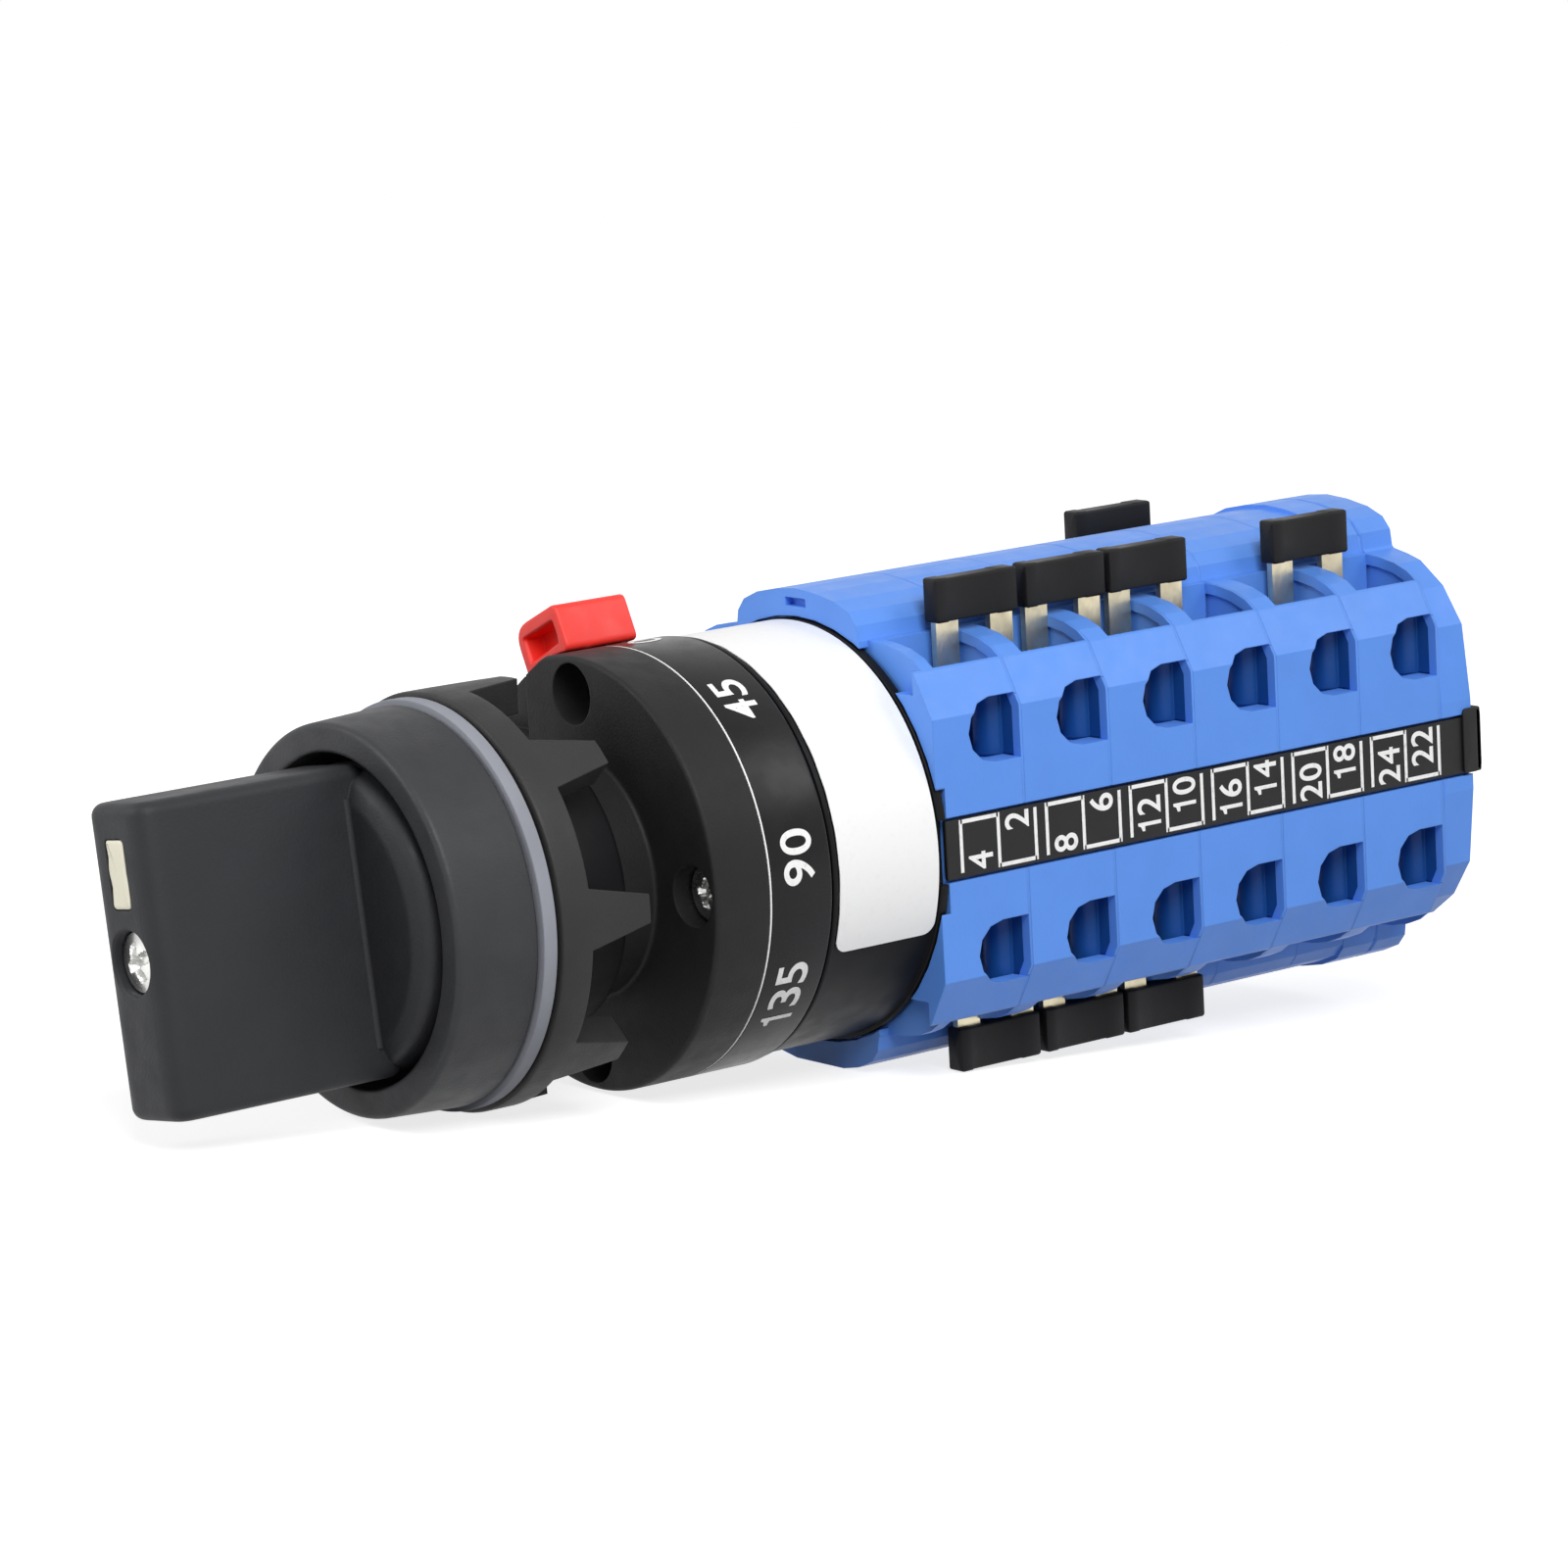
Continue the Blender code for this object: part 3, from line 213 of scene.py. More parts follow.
# A deck's outline from the top of its ridge over the shoulder and the side down to the strip's groove,
# then mirrored to the bottom and to the left.
right_side = np.array([
    (0.0, 25.5), (3.16, 25.25), (6.43, 24.65), (8.8, 23.7), (9.9, 22.4), (10.2, 20.8), (12.9, 20.6),
    (15.4, 20.15), (17.4, 19.4), (19.0, 18.3), (HALF_WIDTH, 13.7), (HALF_WIDTH, GROOVE_HALF),
    (GROOVE_FLOOR, GROOVE_HALF)])
right_side = np.vstack([right_side, right_side[::-1] * (1, -1)])
deck_outline = np.vstack([right_side, right_side[-2:0:-1] * (-1, 1)])

blue = moulded("blue_moulding", BLUE, 0.42, grain=0.12, cloud=0.035, edge=0.15, specular=0.4)
joint_lips = []
for number in range(1, DECKS + 1):
    rear = FIRST_DECK + number * DECK_PITCH
    front = rear - DECK_JOINT
    round_lip = [(LIP_OUTSIDE, front), (LIP_OUTSIDE, rear), (LIP_INSIDE, rear), (LIP_INSIDE, front),
                 (LIP_OUTSIDE, front)]
    joint_lips.append(prism(deck_outline, round_lip, capped=False))
piece("deck_lips", joint_lips, blue, "base", "blue_plastic")
for number in range(1, DECKS + 1):
    dress("contact_deck_%d" % number, blue)

# Rear plate and tie bolts
# A blue end plate closes the last deck. Two long zinc-plated bolts run through every deck and pull the
# stack against the drum.
dress("rear_plate", blue)


def plated(name, colour, roughness, scratch=0.25):
    """Plated or drawn metal: long fine scratches turn the bump, and dull stains change tint and gloss."""
    made = bpy.data.materials.new(name)
    made.use_nodes = True
    nodes, links = made.node_tree.nodes, made.node_tree.links
    shader = nodes["Principled BSDF"]
    shader.inputs["Metallic"].default_value = 1.0
    place = nodes.new("ShaderNodeTexCoord").outputs["Object"]
    stain = nodes.new("ShaderNodeTexNoise")
    stain.inputs["Scale"].default_value = 500.0
    stain.inputs["Detail"].default_value = 5.0
    links.new(place, stain.inputs["Vector"])
    tint = nodes.new("ShaderNodeValToRGB")
    low, high = tint.color_ramp.elements
    low.position, high.position = 0.32, 0.68
    low.color = (*[c * 0.72 for c in colour], 1.0)
    high.color = (*colour, 1.0)
    links.new(stain.outputs["Fac"], tint.inputs["Fac"])
    links.new(tint.outputs["Color"], shader.inputs["Base Color"])
    gloss = nodes.new("ShaderNodeMapRange")
    gloss.inputs["To Min"].default_value = roughness + 0.12
    gloss.inputs["To Max"].default_value = roughness - 0.08
    links.new(stain.outputs["Fac"], gloss.inputs["Value"])
    links.new(gloss.outputs["Result"], shader.inputs["Roughness"])
    stretch = nodes.new("ShaderNodeMapping")
    stretch.inputs["Scale"].default_value = (900.0, 5000.0, 900.0)
    links.new(place, stretch.inputs["Vector"])
    lines = nodes.new("ShaderNodeTexNoise")
    lines.inputs["Scale"].default_value = 1.0
    links.new(stretch.outputs["Vector"], lines.inputs["Vector"])
    bump = nodes.new("ShaderNodeBump")
    bump.inputs["Strength"].default_value = scratch
    bump.inputs["Distance"].default_value = 0.0001
    links.new(lines.outputs["Fac"], bump.inputs["Height"])
    links.new(bump.outputs["Normal"], shader.inputs["Normal"])
    return made


zinc = plated("zinc_plating", (0.80, 0.80, 0.78), 0.26)
steel = plated("drawn_steel", (0.58, 0.58, 0.59), 0.32)
for number in (1, 2):
    dress("tie_bolt_%d" % number, zinc)

# Shaft, cams and detent
# A square steel shaft carries one natural-coloured cam in each deck and the star wheel of the detent, where
# two sprung steel plungers hold each position. They sit inside the closed housings.
natural = moulded("natural_moulding", (0.74, 0.69, 0.57), 0.5, grain=0.1)
dress("shaft", steel)
dress("detent_wheel", natural)
for number in range(1, DECKS + 1):
    dress("cam_%d" % number, natural)
for number in (1, 2):
    dress("detent_plunger_%d" % number, steel)
    dress("detent_spring_%d" % number, steel)

# Terminals
# In each of the 24 wire pockets a cross-slot screw on a square brass washer clamps the wire. The back of the
# pocket is covered by a sheet with a sill below the screwdriver hole, and a round rib on the sheet steers the
# stripped end under the washer. Sheet, sill and rib are a darker blue than the decks: painted shade for the
# dim inside of the pocket.
SCREW_UP = 11.6
SCREW_IN_DECK = 7.4
SCREW_HEAD_FACE = 15.9
WASHER_HALF, WASHER_BACK, WASHER_FACE = 2.7, 13.2, 14.2
RIB_IN_DECK, RIB_OUT, RIB_RADIUS = 11.6, 16.8, 1.9
RIB_LOW, RIB_HIGH = 8.0, 16.2
SHADE_LINING_LOW, SHADE_LINING_HIGH = (13.1, 11.15, 8.05), (18.62, 11.5, 16.0)
SILL_LOW, SILL_HIGH = (18.4, 11.55, 8.35), (21.0, 11.8, 14.85)


def screw_grid(head_radius, head_height, shank_radius, length, slot_long, slot_wide, slot_deep, columns=48):
    """Grid of a pan-head screw, its axis on X and its head towards +X, from the middle of the head's top.

    Row by row: the top is a dome 0.5 + 0.5 cos(pi r / R) that falls 0.45 of the head's height to its rim,
    less a cross-shaped recess that shallows outwards, then the rim, the underside of the head, and a shank
    whose radius ripples by 0.12 as a thread."""
    turn = np.linspace(0.0, 2.0 * np.pi, columns, endpoint=False)
    radius = head_radius * np.linspace(0.0, 1.0, 19)[:, None]
    across, up = radius * np.cos(turn), radius * np.sin(turn)
    half_long, half_wide = slot_long / 2.0, slot_wide / 2.0

    def arm(a, b):
        """Depth of one arm of the cross: full inside its width, and falling off towards its ends."""
        side = np.clip((half_wide + 0.08 - np.abs(b)) / 0.16, 0.0, 1.0)
        end = np.clip((half_long - np.abs(a)) / 0.5, 0.0, 1.0)
        return side * end

    recess = np.maximum(arm(across, up), arm(up, across)) * slot_deep
    fall = 0.45 * head_height
    dome = fall * (0.5 + 0.5 * np.cos(np.pi * radius / head_radius)) - fall
    top = np.stack([dome - recess + 0.0 * turn, across, up], -1)
    rim = [(-0.75 * head_height, head_radius), (-head_height, 0.96 * head_radius),
           (-head_height, shank_radius)]
    rim = np.array([np.stack([np.full(columns, x), r * np.cos(turn), r * np.sin(turn)], -1)
                    for x, r in rim])
    thread = np.linspace(head_height, length, 40)[:, None]
    pitch = 0.45 * shank_radius
    wave = 0.5 + 0.5 * np.cos(2.0 * np.pi * thread / pitch - turn)
    ripple = shank_radius * (1.0 - 0.12 * wave)
    shank = np.stack([-thread + 0.0 * turn, ripple * np.cos(turn), ripple * np.sin(turn)], -1)
    tip = np.tile([-length, 0.0, 0.0], (1, columns, 1))
    return np.vstack([top, rim, shank, tip])


def oblong(left, low, right, high):
    """Corners of an oblong, in turn from its low left one."""
    return np.array([(left, low), (right, low), (right, high), (left, high)], float)


def box_grid(low, high):
    """Grid of a plain box between two corners."""
    (x0, y0, z0), (x1, y1, z1) = low, high
    return prism(oblong(x0, z0, x1, z1), [(0.0, y0), (0.0, y1)])


def eased(corners, reach, steps=5):
    """The closed path with each corner c replaced by the curve (1-t)^2 a + 2t(1-t) c + t^2 b, where a and b
    lie on the two edges at the distance reach from c, and never past the middle of an edge."""
    corners = np.asarray(corners, float)
    reach = np.broadcast_to(np.asarray(reach, float), (len(corners),))[:, None]
    back, ahead = np.roll(corners, 1, 0) - corners, np.roll(corners, -1, 0) - corners
    back_long = np.maximum(np.linalg.norm(back, axis=1, keepdims=True), 1e-9)
    ahead_long = np.maximum(np.linalg.norm(ahead, axis=1, keepdims=True), 1e-9)
    a = corners + back / back_long * np.minimum(reach, 0.5 * back_long)
    b = corners + ahead / ahead_long * np.minimum(reach, 0.5 * ahead_long)
    t = np.linspace(0.0, 1.0, steps + 1)[None, :, None]
    path = (1 - t) ** 2 * a[:, None] + 2 * t * (1 - t) * corners[:, None] + t ** 2 * b[:, None]
    return path.reshape(-1, 2)


def rounded_ends(start, end, ease, steps=4):
    """Insets and places of a bar's two rounded ends: each is a quarter circle of radius ease."""
    turn = np.linspace(0.0, np.pi / 2.0, steps + 1)
    amount = ease * (1.0 - np.sin(turn))
    at = start + np.sign(end - start) * ease * (1.0 - np.cos(turn))
    return np.vstack([np.c_[amount, at], np.c_[amount, start + end - at][::-1]])


brass = plated("brass_sheet", (0.78, 0.70, 0.49), 0.34, scratch=0.35)
# Painted shade: the darker blue of the pockets' rib, back sheet and sill stands for the dim inside of the
# pockets.
shaded_pocket_blue = moulded("pocket_painted_shade", (0.009, 0.068, 0.26), 0.35, grain=0.08, cloud=0.06, edge=0.2,
                    specular=0.2)
terminal = screw_grid(head_radius=2.6, head_height=1.5, shank_radius=1.5, length=2.8, slot_long=3.4,
                      slot_wide=0.8, slot_deep=0.8, columns=32)
washer_edge = eased(oblong(-WASHER_HALF, -WASHER_HALF, WASHER_HALF, WASHER_HALF), 0.5, 2)
washer = prism(washer_edge, rounded_ends(WASHER_BACK, WASHER_FACE, 0.12, 1), "x")
rib_turn = np.linspace(0.0, 2.0 * np.pi, 24, endpoint=False)
rib_edge = RIB_RADIUS * np.c_[np.sin(rib_turn), np.cos(rib_turn)]
rib = prism(rib_edge, [(0.3, RIB_LOW), (0.0, RIB_LOW + 0.3), (0.0, RIB_HIGH - 0.6), (0.5, RIB_HIGH)], "z")
shade_lining = box_grid(SHADE_LINING_LOW, SHADE_LINING_HIGH)
sill = box_grid(SILL_LOW, SILL_HIGH)
screws, washers, ribs = [], [], []
for number in range(DECKS):
    deck_front = FIRST_DECK + number * DECK_PITCH
    for side in (1, -1):
        for up in (1, -1):
            middle = deck_front + SCREW_IN_DECK
            # Each screw stopped at a turn of its own.
            spin = 0.4 + 0.9 * number + 0.5 * up + 0.3 * side
            about_x = np.array([(1, 0, 0), (0, np.cos(spin), np.sin(spin)), (0, -np.sin(spin), np.cos(spin))])
            spun = terminal @ about_x + (SCREW_HEAD_FACE, 0, 0)
            screws.append(spun * (side, 1, 1) + (0, middle, up * SCREW_UP))
            washers.append(washer * (side, 1, 1) + (0, middle, up * SCREW_UP))
            ribs.append(rib * (1, 1, up) + (side * RIB_OUT, deck_front + RIB_IN_DECK, 0))
            ribs.append(shade_lining * (side, 1, up) + (0, deck_front, 0))
            ribs.append(sill * (side, 1, up) + (0, deck_front, 0))
piece("terminal_screws", screws, zinc, "base", "zinc_screw")
piece("terminal_washers", washers, brass, "base", "brass")
piece("pocket_ribs_painted_shade", ribs, shaded_pocket_blue, "base", "blue_plastic")

# Links
# U-shaped straps punched from brass sheet bridge neighbouring terminals. Each wears a black insulating
# sleeve, moulded with a shallow collar at both ends.
LINKS = ["link_top_1", "link_top_2", "link_top_3", "link_top_5", "link_bottom_1", "link_bottom_2",
         "link_bottom_3", "link_far"]
FRONT_COLLAR, REAR_COLLAR = 1.5, 2.48
COLLAR_STEP, COLLAR_RAMP = 0.07, 0.12
SLEEVE_EASE = 0.35
black_sleeve = moulded("sleeve_moulding", (0.012, 0.012, 0.013), 0.45, grain=0.15, cloud=0.12, edge=0.2,
                       specular=0.15)
for link in LINKS:
    low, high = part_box(link + "_sleeve")
    (x0, y0, z0), (x1, y1, z1) = [np.array(corner) * 1000.0 for corner in (low, high)]
    sleeve_edge = eased(oblong(x0, z0, x1, z1), SLEEVE_EASE, 3)
    rims = [(SLEEVE_EASE, y0), (0.1, y0 + 0.1), (0.0, y0 + SLEEVE_EASE), (0.0, y0 + FRONT_COLLAR),
            (COLLAR_STEP, y0 + FRONT_COLLAR + COLLAR_RAMP), (COLLAR_STEP, y1 - REAR_COLLAR - COLLAR_RAMP),
            (0.0, y1 - REAR_COLLAR), (0.0, y1 - SLEEVE_EASE), (0.1, y1 - 0.1), (SLEEVE_EASE, y1)]
    piece(link + "_cover", prism(sleeve_edge, rims), black_sleeve, "base", "sleeve_plastic",
          (link + "_sleeve",))
    dress(link + "_brass", brass)

# Number strips
# A thin black strip slides into the groove along each side and hooks over the rear plate. It is printed with
# the terminal numbers, each stage in a pair of open boxes.
STRIP_FRONT, STRIP_REAR, STRIP_HALF = 48.6, 123.6, 3.1
STRIP_BACK, STRIP_FACE = 21.05, 21.6
HOOK_FRONT, HOOK_REAR, HOOK_TOP = 123.3, 124.1, 4.05
HOOK_INSIDE, HOOK_OUTSIDE = 20.5, 21.98
TAB_FRONT, TAB_INSIDE = 121.5, 21.67
INK_OUT = 21.625
PRINT_START, PRINT_PITCH, PRINT_CELL = 50.55, 11.5, 4.98
LINE = 0.42
BOX_TOP, BOX_BOTTOM = 2.75, -2.55
DIGIT_TALL, DIGIT_WIDE, DIGIT_GAP = 3.2, 1.85, 0.28
FLAGGED_ONE = [(0.50, 0.0), (0.72, 0.0), (0.72, 1.0), (0.56, 1.0), (0.48, 0.88), (0.22, 0.81), (0.22, 0.70),
               (0.50, 0.70)]
STROKE_SWELL = 0.014
DIGIT_SLICES = 5


def printed(name, colour=(0.93, 0.93, 0.92), thinned=0.80):
    """Screen-printed ink: nearly white, with a low sheen; small patches keep only the share thinned of the
    colour."""
    made = bpy.data.materials.new(name)
    made.use_nodes = True
    nodes, links = made.node_tree.nodes, made.node_tree.links
    shader = nodes["Principled BSDF"]
    shader.inputs["Roughness"].default_value = 0.5
    place = nodes.new("ShaderNodeTexCoord").outputs["Object"]
    thin = nodes.new("ShaderNodeTexNoise")
    thin.inputs["Scale"].default_value = 1500.0
    thin.inputs["Detail"].default_value = 3.0
    links.new(place, thin.inputs["Vector"])
    tint = nodes.new("ShaderNodeValToRGB")
    low, high = tint.color_ramp.elements
    low.position, high.position = 0.25, 0.45
    low.color = (*[c * thinned for c in colour], 1.0)
    high.color = (*colour, 1.0)
    links.new(thin.outputs["Fac"], tint.inputs["Fac"])
    links.new(tint.outputs["Color"], shader.inputs["Base Color"])
    return made


def figure(digit, tall, wide):
    """Flat triangles of one digit fitted to a cell of the given size, sliced upright so that it can bend
    round the dial; the 1 is an upright with a flag."""
    work = bmesh.new()
    if digit == "1":
        work.faces.new([work.verts.new((x, y, 0.0)) for x, y in FLAGGED_ONE])
    else:
        curve = bpy.data.curves.new("figure", "FONT")
        curve.body = digit
        curve.offset = STROKE_SWELL
        guide = bpy.data.objects.new("figure", curve)
        bpy.context.scene.collection.objects.link(guide)
        bpy.context.view_layer.update()
        graph = bpy.context.evaluated_depsgraph_get()
        work.from_mesh(bpy.data.meshes.new_from_object(guide.evaluated_get(graph)))
        bpy.data.objects.remove(guide, do_unlink=True)
    bmesh.ops.remove_doubles(work, verts=work.verts, dist=0.0005)
    spread = [v.co.x for v in work.verts]
    for at in np.linspace(min(spread), max(spread), DIGIT_SLICES + 1)[1:-1]:
        parts = work.verts[:] + work.edges[:] + work.faces[:]
        bmesh.ops.bisect_plane(work, geom=parts, plane_co=(at, 0, 0), plane_no=(1, 0, 0))
    bmesh.ops.triangulate(work, faces=work.faces)
    points = np.array([v.co[:2] for v in work.verts])
    faces = np.array([[v.index for v in f.verts] for f in work.faces])
    work.free()
    if digit != "1":
        points = (points - points.min(0)) / (points.max(0) - points.min(0))
    return points * (wide, tall), faces


def lettering(text, tall, wide, gap):
    """Triangles of a number centred on the origin: its digits stand side by side in equal cells."""
    points, faces, start = [], [], 0
    for place, digit in enumerate(text):
        flat, loops = figure(digit, tall, wide)
        points.append(flat + (place * (wide + gap), 0.0))
        faces.append(loops + start)
        start += len(flat)
    full = len(text) * (wide + gap) - gap
    return np.vstack(points) - (full / 2.0, tall / 2.0), np.vstack(faces)


def ink(name, parts, finish, body, slot):
    """One piece from several (points, faces) sheets, each already in its place."""
    points, faces, start = [], [], 0
    for some, loops in parts:
        points.append(some * 0.001)
        faces.append(loops + start)
        start += len(some)
    mesh = bpy.data.meshes.new(name)
    mesh.from_pydata(np.vstack(points).tolist(), [], np.vstack(faces).tolist())
    obj = bpy.data.objects.new(name, mesh)
    bpy.context.scene.collection.objects.link(obj)
    return belongs(obj, finish, body, slot)


def bar(y0, z0, y1, z1):
    """Flat printed line as two triangles, as (y, z) points."""
    return oblong(y0, z0, y1, z1), np.array([(0, 1, 2), (0, 2, 3)])


white_ink = printed("white_ink")
strip_black = moulded("strip_moulding", (0.010, 0.010, 0.011), 0.48, grain=0.12, cloud=0.1, edge=0.15,
                      specular=0.25)
strip_edge = eased(oblong(STRIP_BACK, -STRIP_HALF, STRIP_FACE, STRIP_HALF), 0.12, 2)
strip_bar = prism(strip_edge, rounded_ends(STRIP_FRONT, STRIP_REAR, 0.1, 1))
hook_edge = eased(oblong(HOOK_INSIDE, -STRIP_HALF, HOOK_OUTSIDE, HOOK_TOP), 0.3, 3)
hook = prism(hook_edge, rounded_ends(HOOK_FRONT, HOOK_REAR, 0.2, 3))
tab_edge = eased(oblong(TAB_FRONT, -STRIP_HALF, HOOK_REAR, HOOK_TOP), (0.4, 0.9, 0.9, 0.6), 5)
tab = prism(tab_edge, rounded_ends(TAB_INSIDE, HOOK_OUTSIDE, 0.12, 2), "x")
half = LINE / 2.0
for name, side, first in (("near", 1, 2), ("far", -1, 1)):
    mirrored = [part * (side, 1, 1) for part in (strip_bar, hook)]
    piece("number_strip_%s_bar" % name, mirrored, strip_black, "base", "strip_plastic",
          ("number_strip_%s" % name,))
    piece("number_strip_%s_tab" % name, tab * (side, 1, 1), strip_black, "base", "strip_plastic")
    marks = []
    for number in range(DECKS):
        left = PRINT_START + number * PRINT_PITCH
        middle, right = left + PRINT_CELL, left + 2.0 * PRINT_CELL
        marks += [bar(left - half, BOX_BOTTOM, left + half, BOX_TOP + half),
                  bar(left, BOX_TOP - half, middle, BOX_TOP + half),
                  bar(middle - half, BOX_BOTTOM - half, middle + half, BOX_TOP + half),
                  bar(middle, BOX_BOTTOM - half, right, BOX_BOTTOM + half),
                  bar(right - half, BOX_BOTTOM - half, right + half, BOX_TOP)]
        for value, centre, low_end in ((4 * number + first + 2, left + PRINT_CELL / 2, True),
                                       (4 * number + first, middle + PRINT_CELL / 2, False)):
            digits = str(value)
            flat, loops = lettering(digits, DIGIT_TALL, DIGIT_WIDE, DIGIT_GAP)
            wide = len(digits) * (DIGIT_WIDE + DIGIT_GAP) - DIGIT_GAP
            rise = BOX_BOTTOM + wide / 2.0 if low_end else BOX_TOP - wide / 2.0
            marks.append((np.c_[centre - flat[:, 1], rise + flat[:, 0]], loops))
    # The far strip is printed to be read from its own side, so its figures run the other way.
    if side > 0:
        placed = [(np.c_[np.full(len(p), INK_OUT), p], f) for p, f in marks]
    else:
        both_ends = STRIP_FRONT + STRIP_REAR
        placed = [(np.c_[np.full(len(p), -INK_OUT), both_ends - p[:, 0], p[:, 1]], f) for p, f in marks]
    ink("number_strip_%s_print" % name, placed, white_ink, "base", "strip_plastic")

# Drum housing
# The black housing of the detent is turned-looking but moulded, with a shallow seat for the label and a
# notch in its rear flange where each number strip starts.
HOUSING_RADIUS = 22.3
HOUSING_WALL_INSIDE, HOUSING_SHAFT_HOLE = 16.2, 4.9
HOUSING_FRONT, HOUSING_REAR = 25.3, 48.4
DIAL_SEAT_RADIUS, DIAL_SEAT_REAR = 20.8, 33.3
LABEL_SEAT_DEEP, LABEL_SEAT_FRONT, LABEL_SEAT_REAR = 0.4, 33.9, 47.3
HOUSING_FLOOR = 45.8
STRIP_NOTCH_LOW, STRIP_NOTCH_HIGH = (20.9, 47.31, -3.4), (24.0, 49.0, 3.4)
GIRTH_STEPS = 192


def turned(profile):
    """Grid of a surface turned about the switch axis: profile rows (radius, depth) times a full circle."""
    profile = np.asarray(profile, float)
    turn = np.linspace(0.0, 2.0 * np.pi, GIRTH_STEPS, endpoint=False)
    radius = profile[:, :1]
    return np.stack([radius * np.sin(turn), profile[:, 1:2] + 0.0 * turn, radius * np.cos(turn)], -1)


def cut_from(obj, grid):
    """Take the shape of a grid away from a piece, then merge and shade the piece again."""
    tool = piece("tool", grid, obj.data.materials[0], "base", obj["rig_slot"])
    step = obj.modifiers.new("cut", "BOOLEAN")
    step.operation = "DIFFERENCE"
    step.solver = "EXACT"
    step.object = tool
    bake(obj, tool)


def bake(obj, tool):
    """Apply a piece's modifier to its mesh and remove the tool that it used."""
    bpy.context.view_layer.update()
    graph = bpy.context.evaluated_depsgraph_get()
    mesh = bpy.data.meshes.new_from_object(obj.evaluated_get(graph))
    obj.modifiers.clear()
    obj.data = mesh
    merge(obj.data)
    obj.data.shade_smooth()
    obj.data.set_sharp_from_angle(angle=np.radians(32.0))
    bpy.data.objects.remove(tool, do_unlink=True)


drum_black = moulded("drum_moulding", (0.009, 0.009, 0.010), 0.36, grain=0.06, cloud=0.1, edge=0.2,
                     specular=0.09)
label_seat = HOUSING_RADIUS - LABEL_SEAT_DEEP
housing_profile = [(HOUSING_WALL_INSIDE, HOUSING_FRONT), (DIAL_SEAT_RADIUS, HOUSING_FRONT),
                   (DIAL_SEAT_RADIUS, DIAL_SEAT_REAR), (HOUSING_RADIUS, DIAL_SEAT_REAR),
                   (HOUSING_RADIUS, LABEL_SEAT_FRONT), (label_seat, LABEL_SEAT_FRONT),
                   (label_seat, LABEL_SEAT_REAR), (HOUSING_RADIUS, LABEL_SEAT_REAR),
                   (HOUSING_RADIUS, HOUSING_REAR), (HOUSING_SHAFT_HOLE, HOUSING_REAR),
                   (HOUSING_SHAFT_HOLE, HOUSING_FLOOR), (HOUSING_WALL_INSIDE, HOUSING_FLOOR)]
easing = (0.1, 0.1, 0.05, 0.25, 0.2, 0.05, 0.05, 0.2, 0.25, 0.1, 0.1, 0.1)
housing = piece("drum_housing", turned(eased(housing_profile, easing, 3)), drum_black, "base",
                "dial_plastic", ("mechanism_housing",), close_rows=True)
for side in (1, -1):
    mirror = np.array((side, 1, 1))
    cut_from(housing, box_grid(STRIP_NOTCH_LOW * mirror, STRIP_NOTCH_HIGH * mirror))

# Label
# A white plastic label wraps the housing over about half its girth, its corners cut round. It is glued into
# the shallow seat.
LABEL_START, LABEL_END = -62.0, 112.0
LABEL_FRONT, LABEL_REAR = 34.2, 47.0
LABEL_OUTSIDE, LABEL_INSIDE, LABEL_GIRTH = 22.25, 22.02, 22.2
LABEL_CORNER = 1.4
label_skin = printed("label_skin", (0.94, 0.94, 0.94), 0.97)
# The rows crowd towards both edges. Where a row is nearer to an edge than the corner's radius, it is
# shortened at both ends by the radius less the half chord of the corner's circle there.
depth = LABEL_FRONT + (LABEL_REAR - LABEL_FRONT) * (0.5 - 0.5 * np.cos(np.linspace(0.0, np.pi, 33)))
from_edge = np.minimum(depth - LABEL_FRONT, LABEL_REAR - depth)
in_corner = np.maximum(0.0, LABEL_CORNER - from_edge)
short = LABEL_CORNER - np.sqrt(np.maximum(0.0, LABEL_CORNER ** 2 - in_corner ** 2))
trim = np.degrees(short / LABEL_GIRTH)[:, None]
along = np.linspace(0.0, 1.0, 121)[None, :]
angle = np.radians(LABEL_START + trim + (LABEL_END - LABEL_START - 2.0 * trim) * along)
outer = np.stack([LABEL_OUTSIDE * np.sin(angle), depth[:, None] + 0.0 * angle,
                  LABEL_OUTSIDE * np.cos(angle)], -1)
shrink = LABEL_INSIDE / LABEL_OUTSIDE
inner = outer * (shrink, 1, shrink)
label_grid = np.concatenate([outer, inner[:, ::-1]], 1)
label = piece("label_sheet", label_grid, label_skin, "base", "label_paper", ("label",))
ends = bmesh.new()
ends.from_mesh(label.data)
bmesh.ops.holes_fill(ends, edges=[e for e in ends.edges if e.is_boundary])
bmesh.ops.recalc_face_normals(ends, faces=ends.faces)
ends.to_mesh(label.data)
ends.free()

# Dial ring
# A glossy black ring in front of the label carries the position numbers, printed in white and read upwards
# round the ring. A white line marks its joint with the adaptor.
DRUM_RADIUS = 22.5
DIAL_INSIDE, DIAL_FRONT, DIAL_REAR = 21.1, 25.3, 33.0
JOINT_LINE_FRONT, JOINT_LINE_REAR = 25.06, 25.24
JOINT_LINE_INSIDE, JOINT_LINE_OUTSIDE = DRUM_RADIUS - 0.5, DRUM_RADIUS - 0.02
DIAL_DEPTH = 28.85
DIAL_TALL, DIAL_WIDE, DIAL_GAP = 3.9, 2.6, 0.46
DIAL_INK_RADIUS = DRUM_RADIUS + 0.03
POSITIONS = (("0", -3.5), ("45", 37.1), ("90", 83.0), ("135", 122.8))
dial_black = moulded("dial_moulding", (0.008, 0.008, 0.009), 0.27, grain=0.03, cloud=0.1, edge=0.15,
                     specular=0.19)
dial_profile = oblong(DIAL_INSIDE, DIAL_FRONT, DRUM_RADIUS, DIAL_REAR)
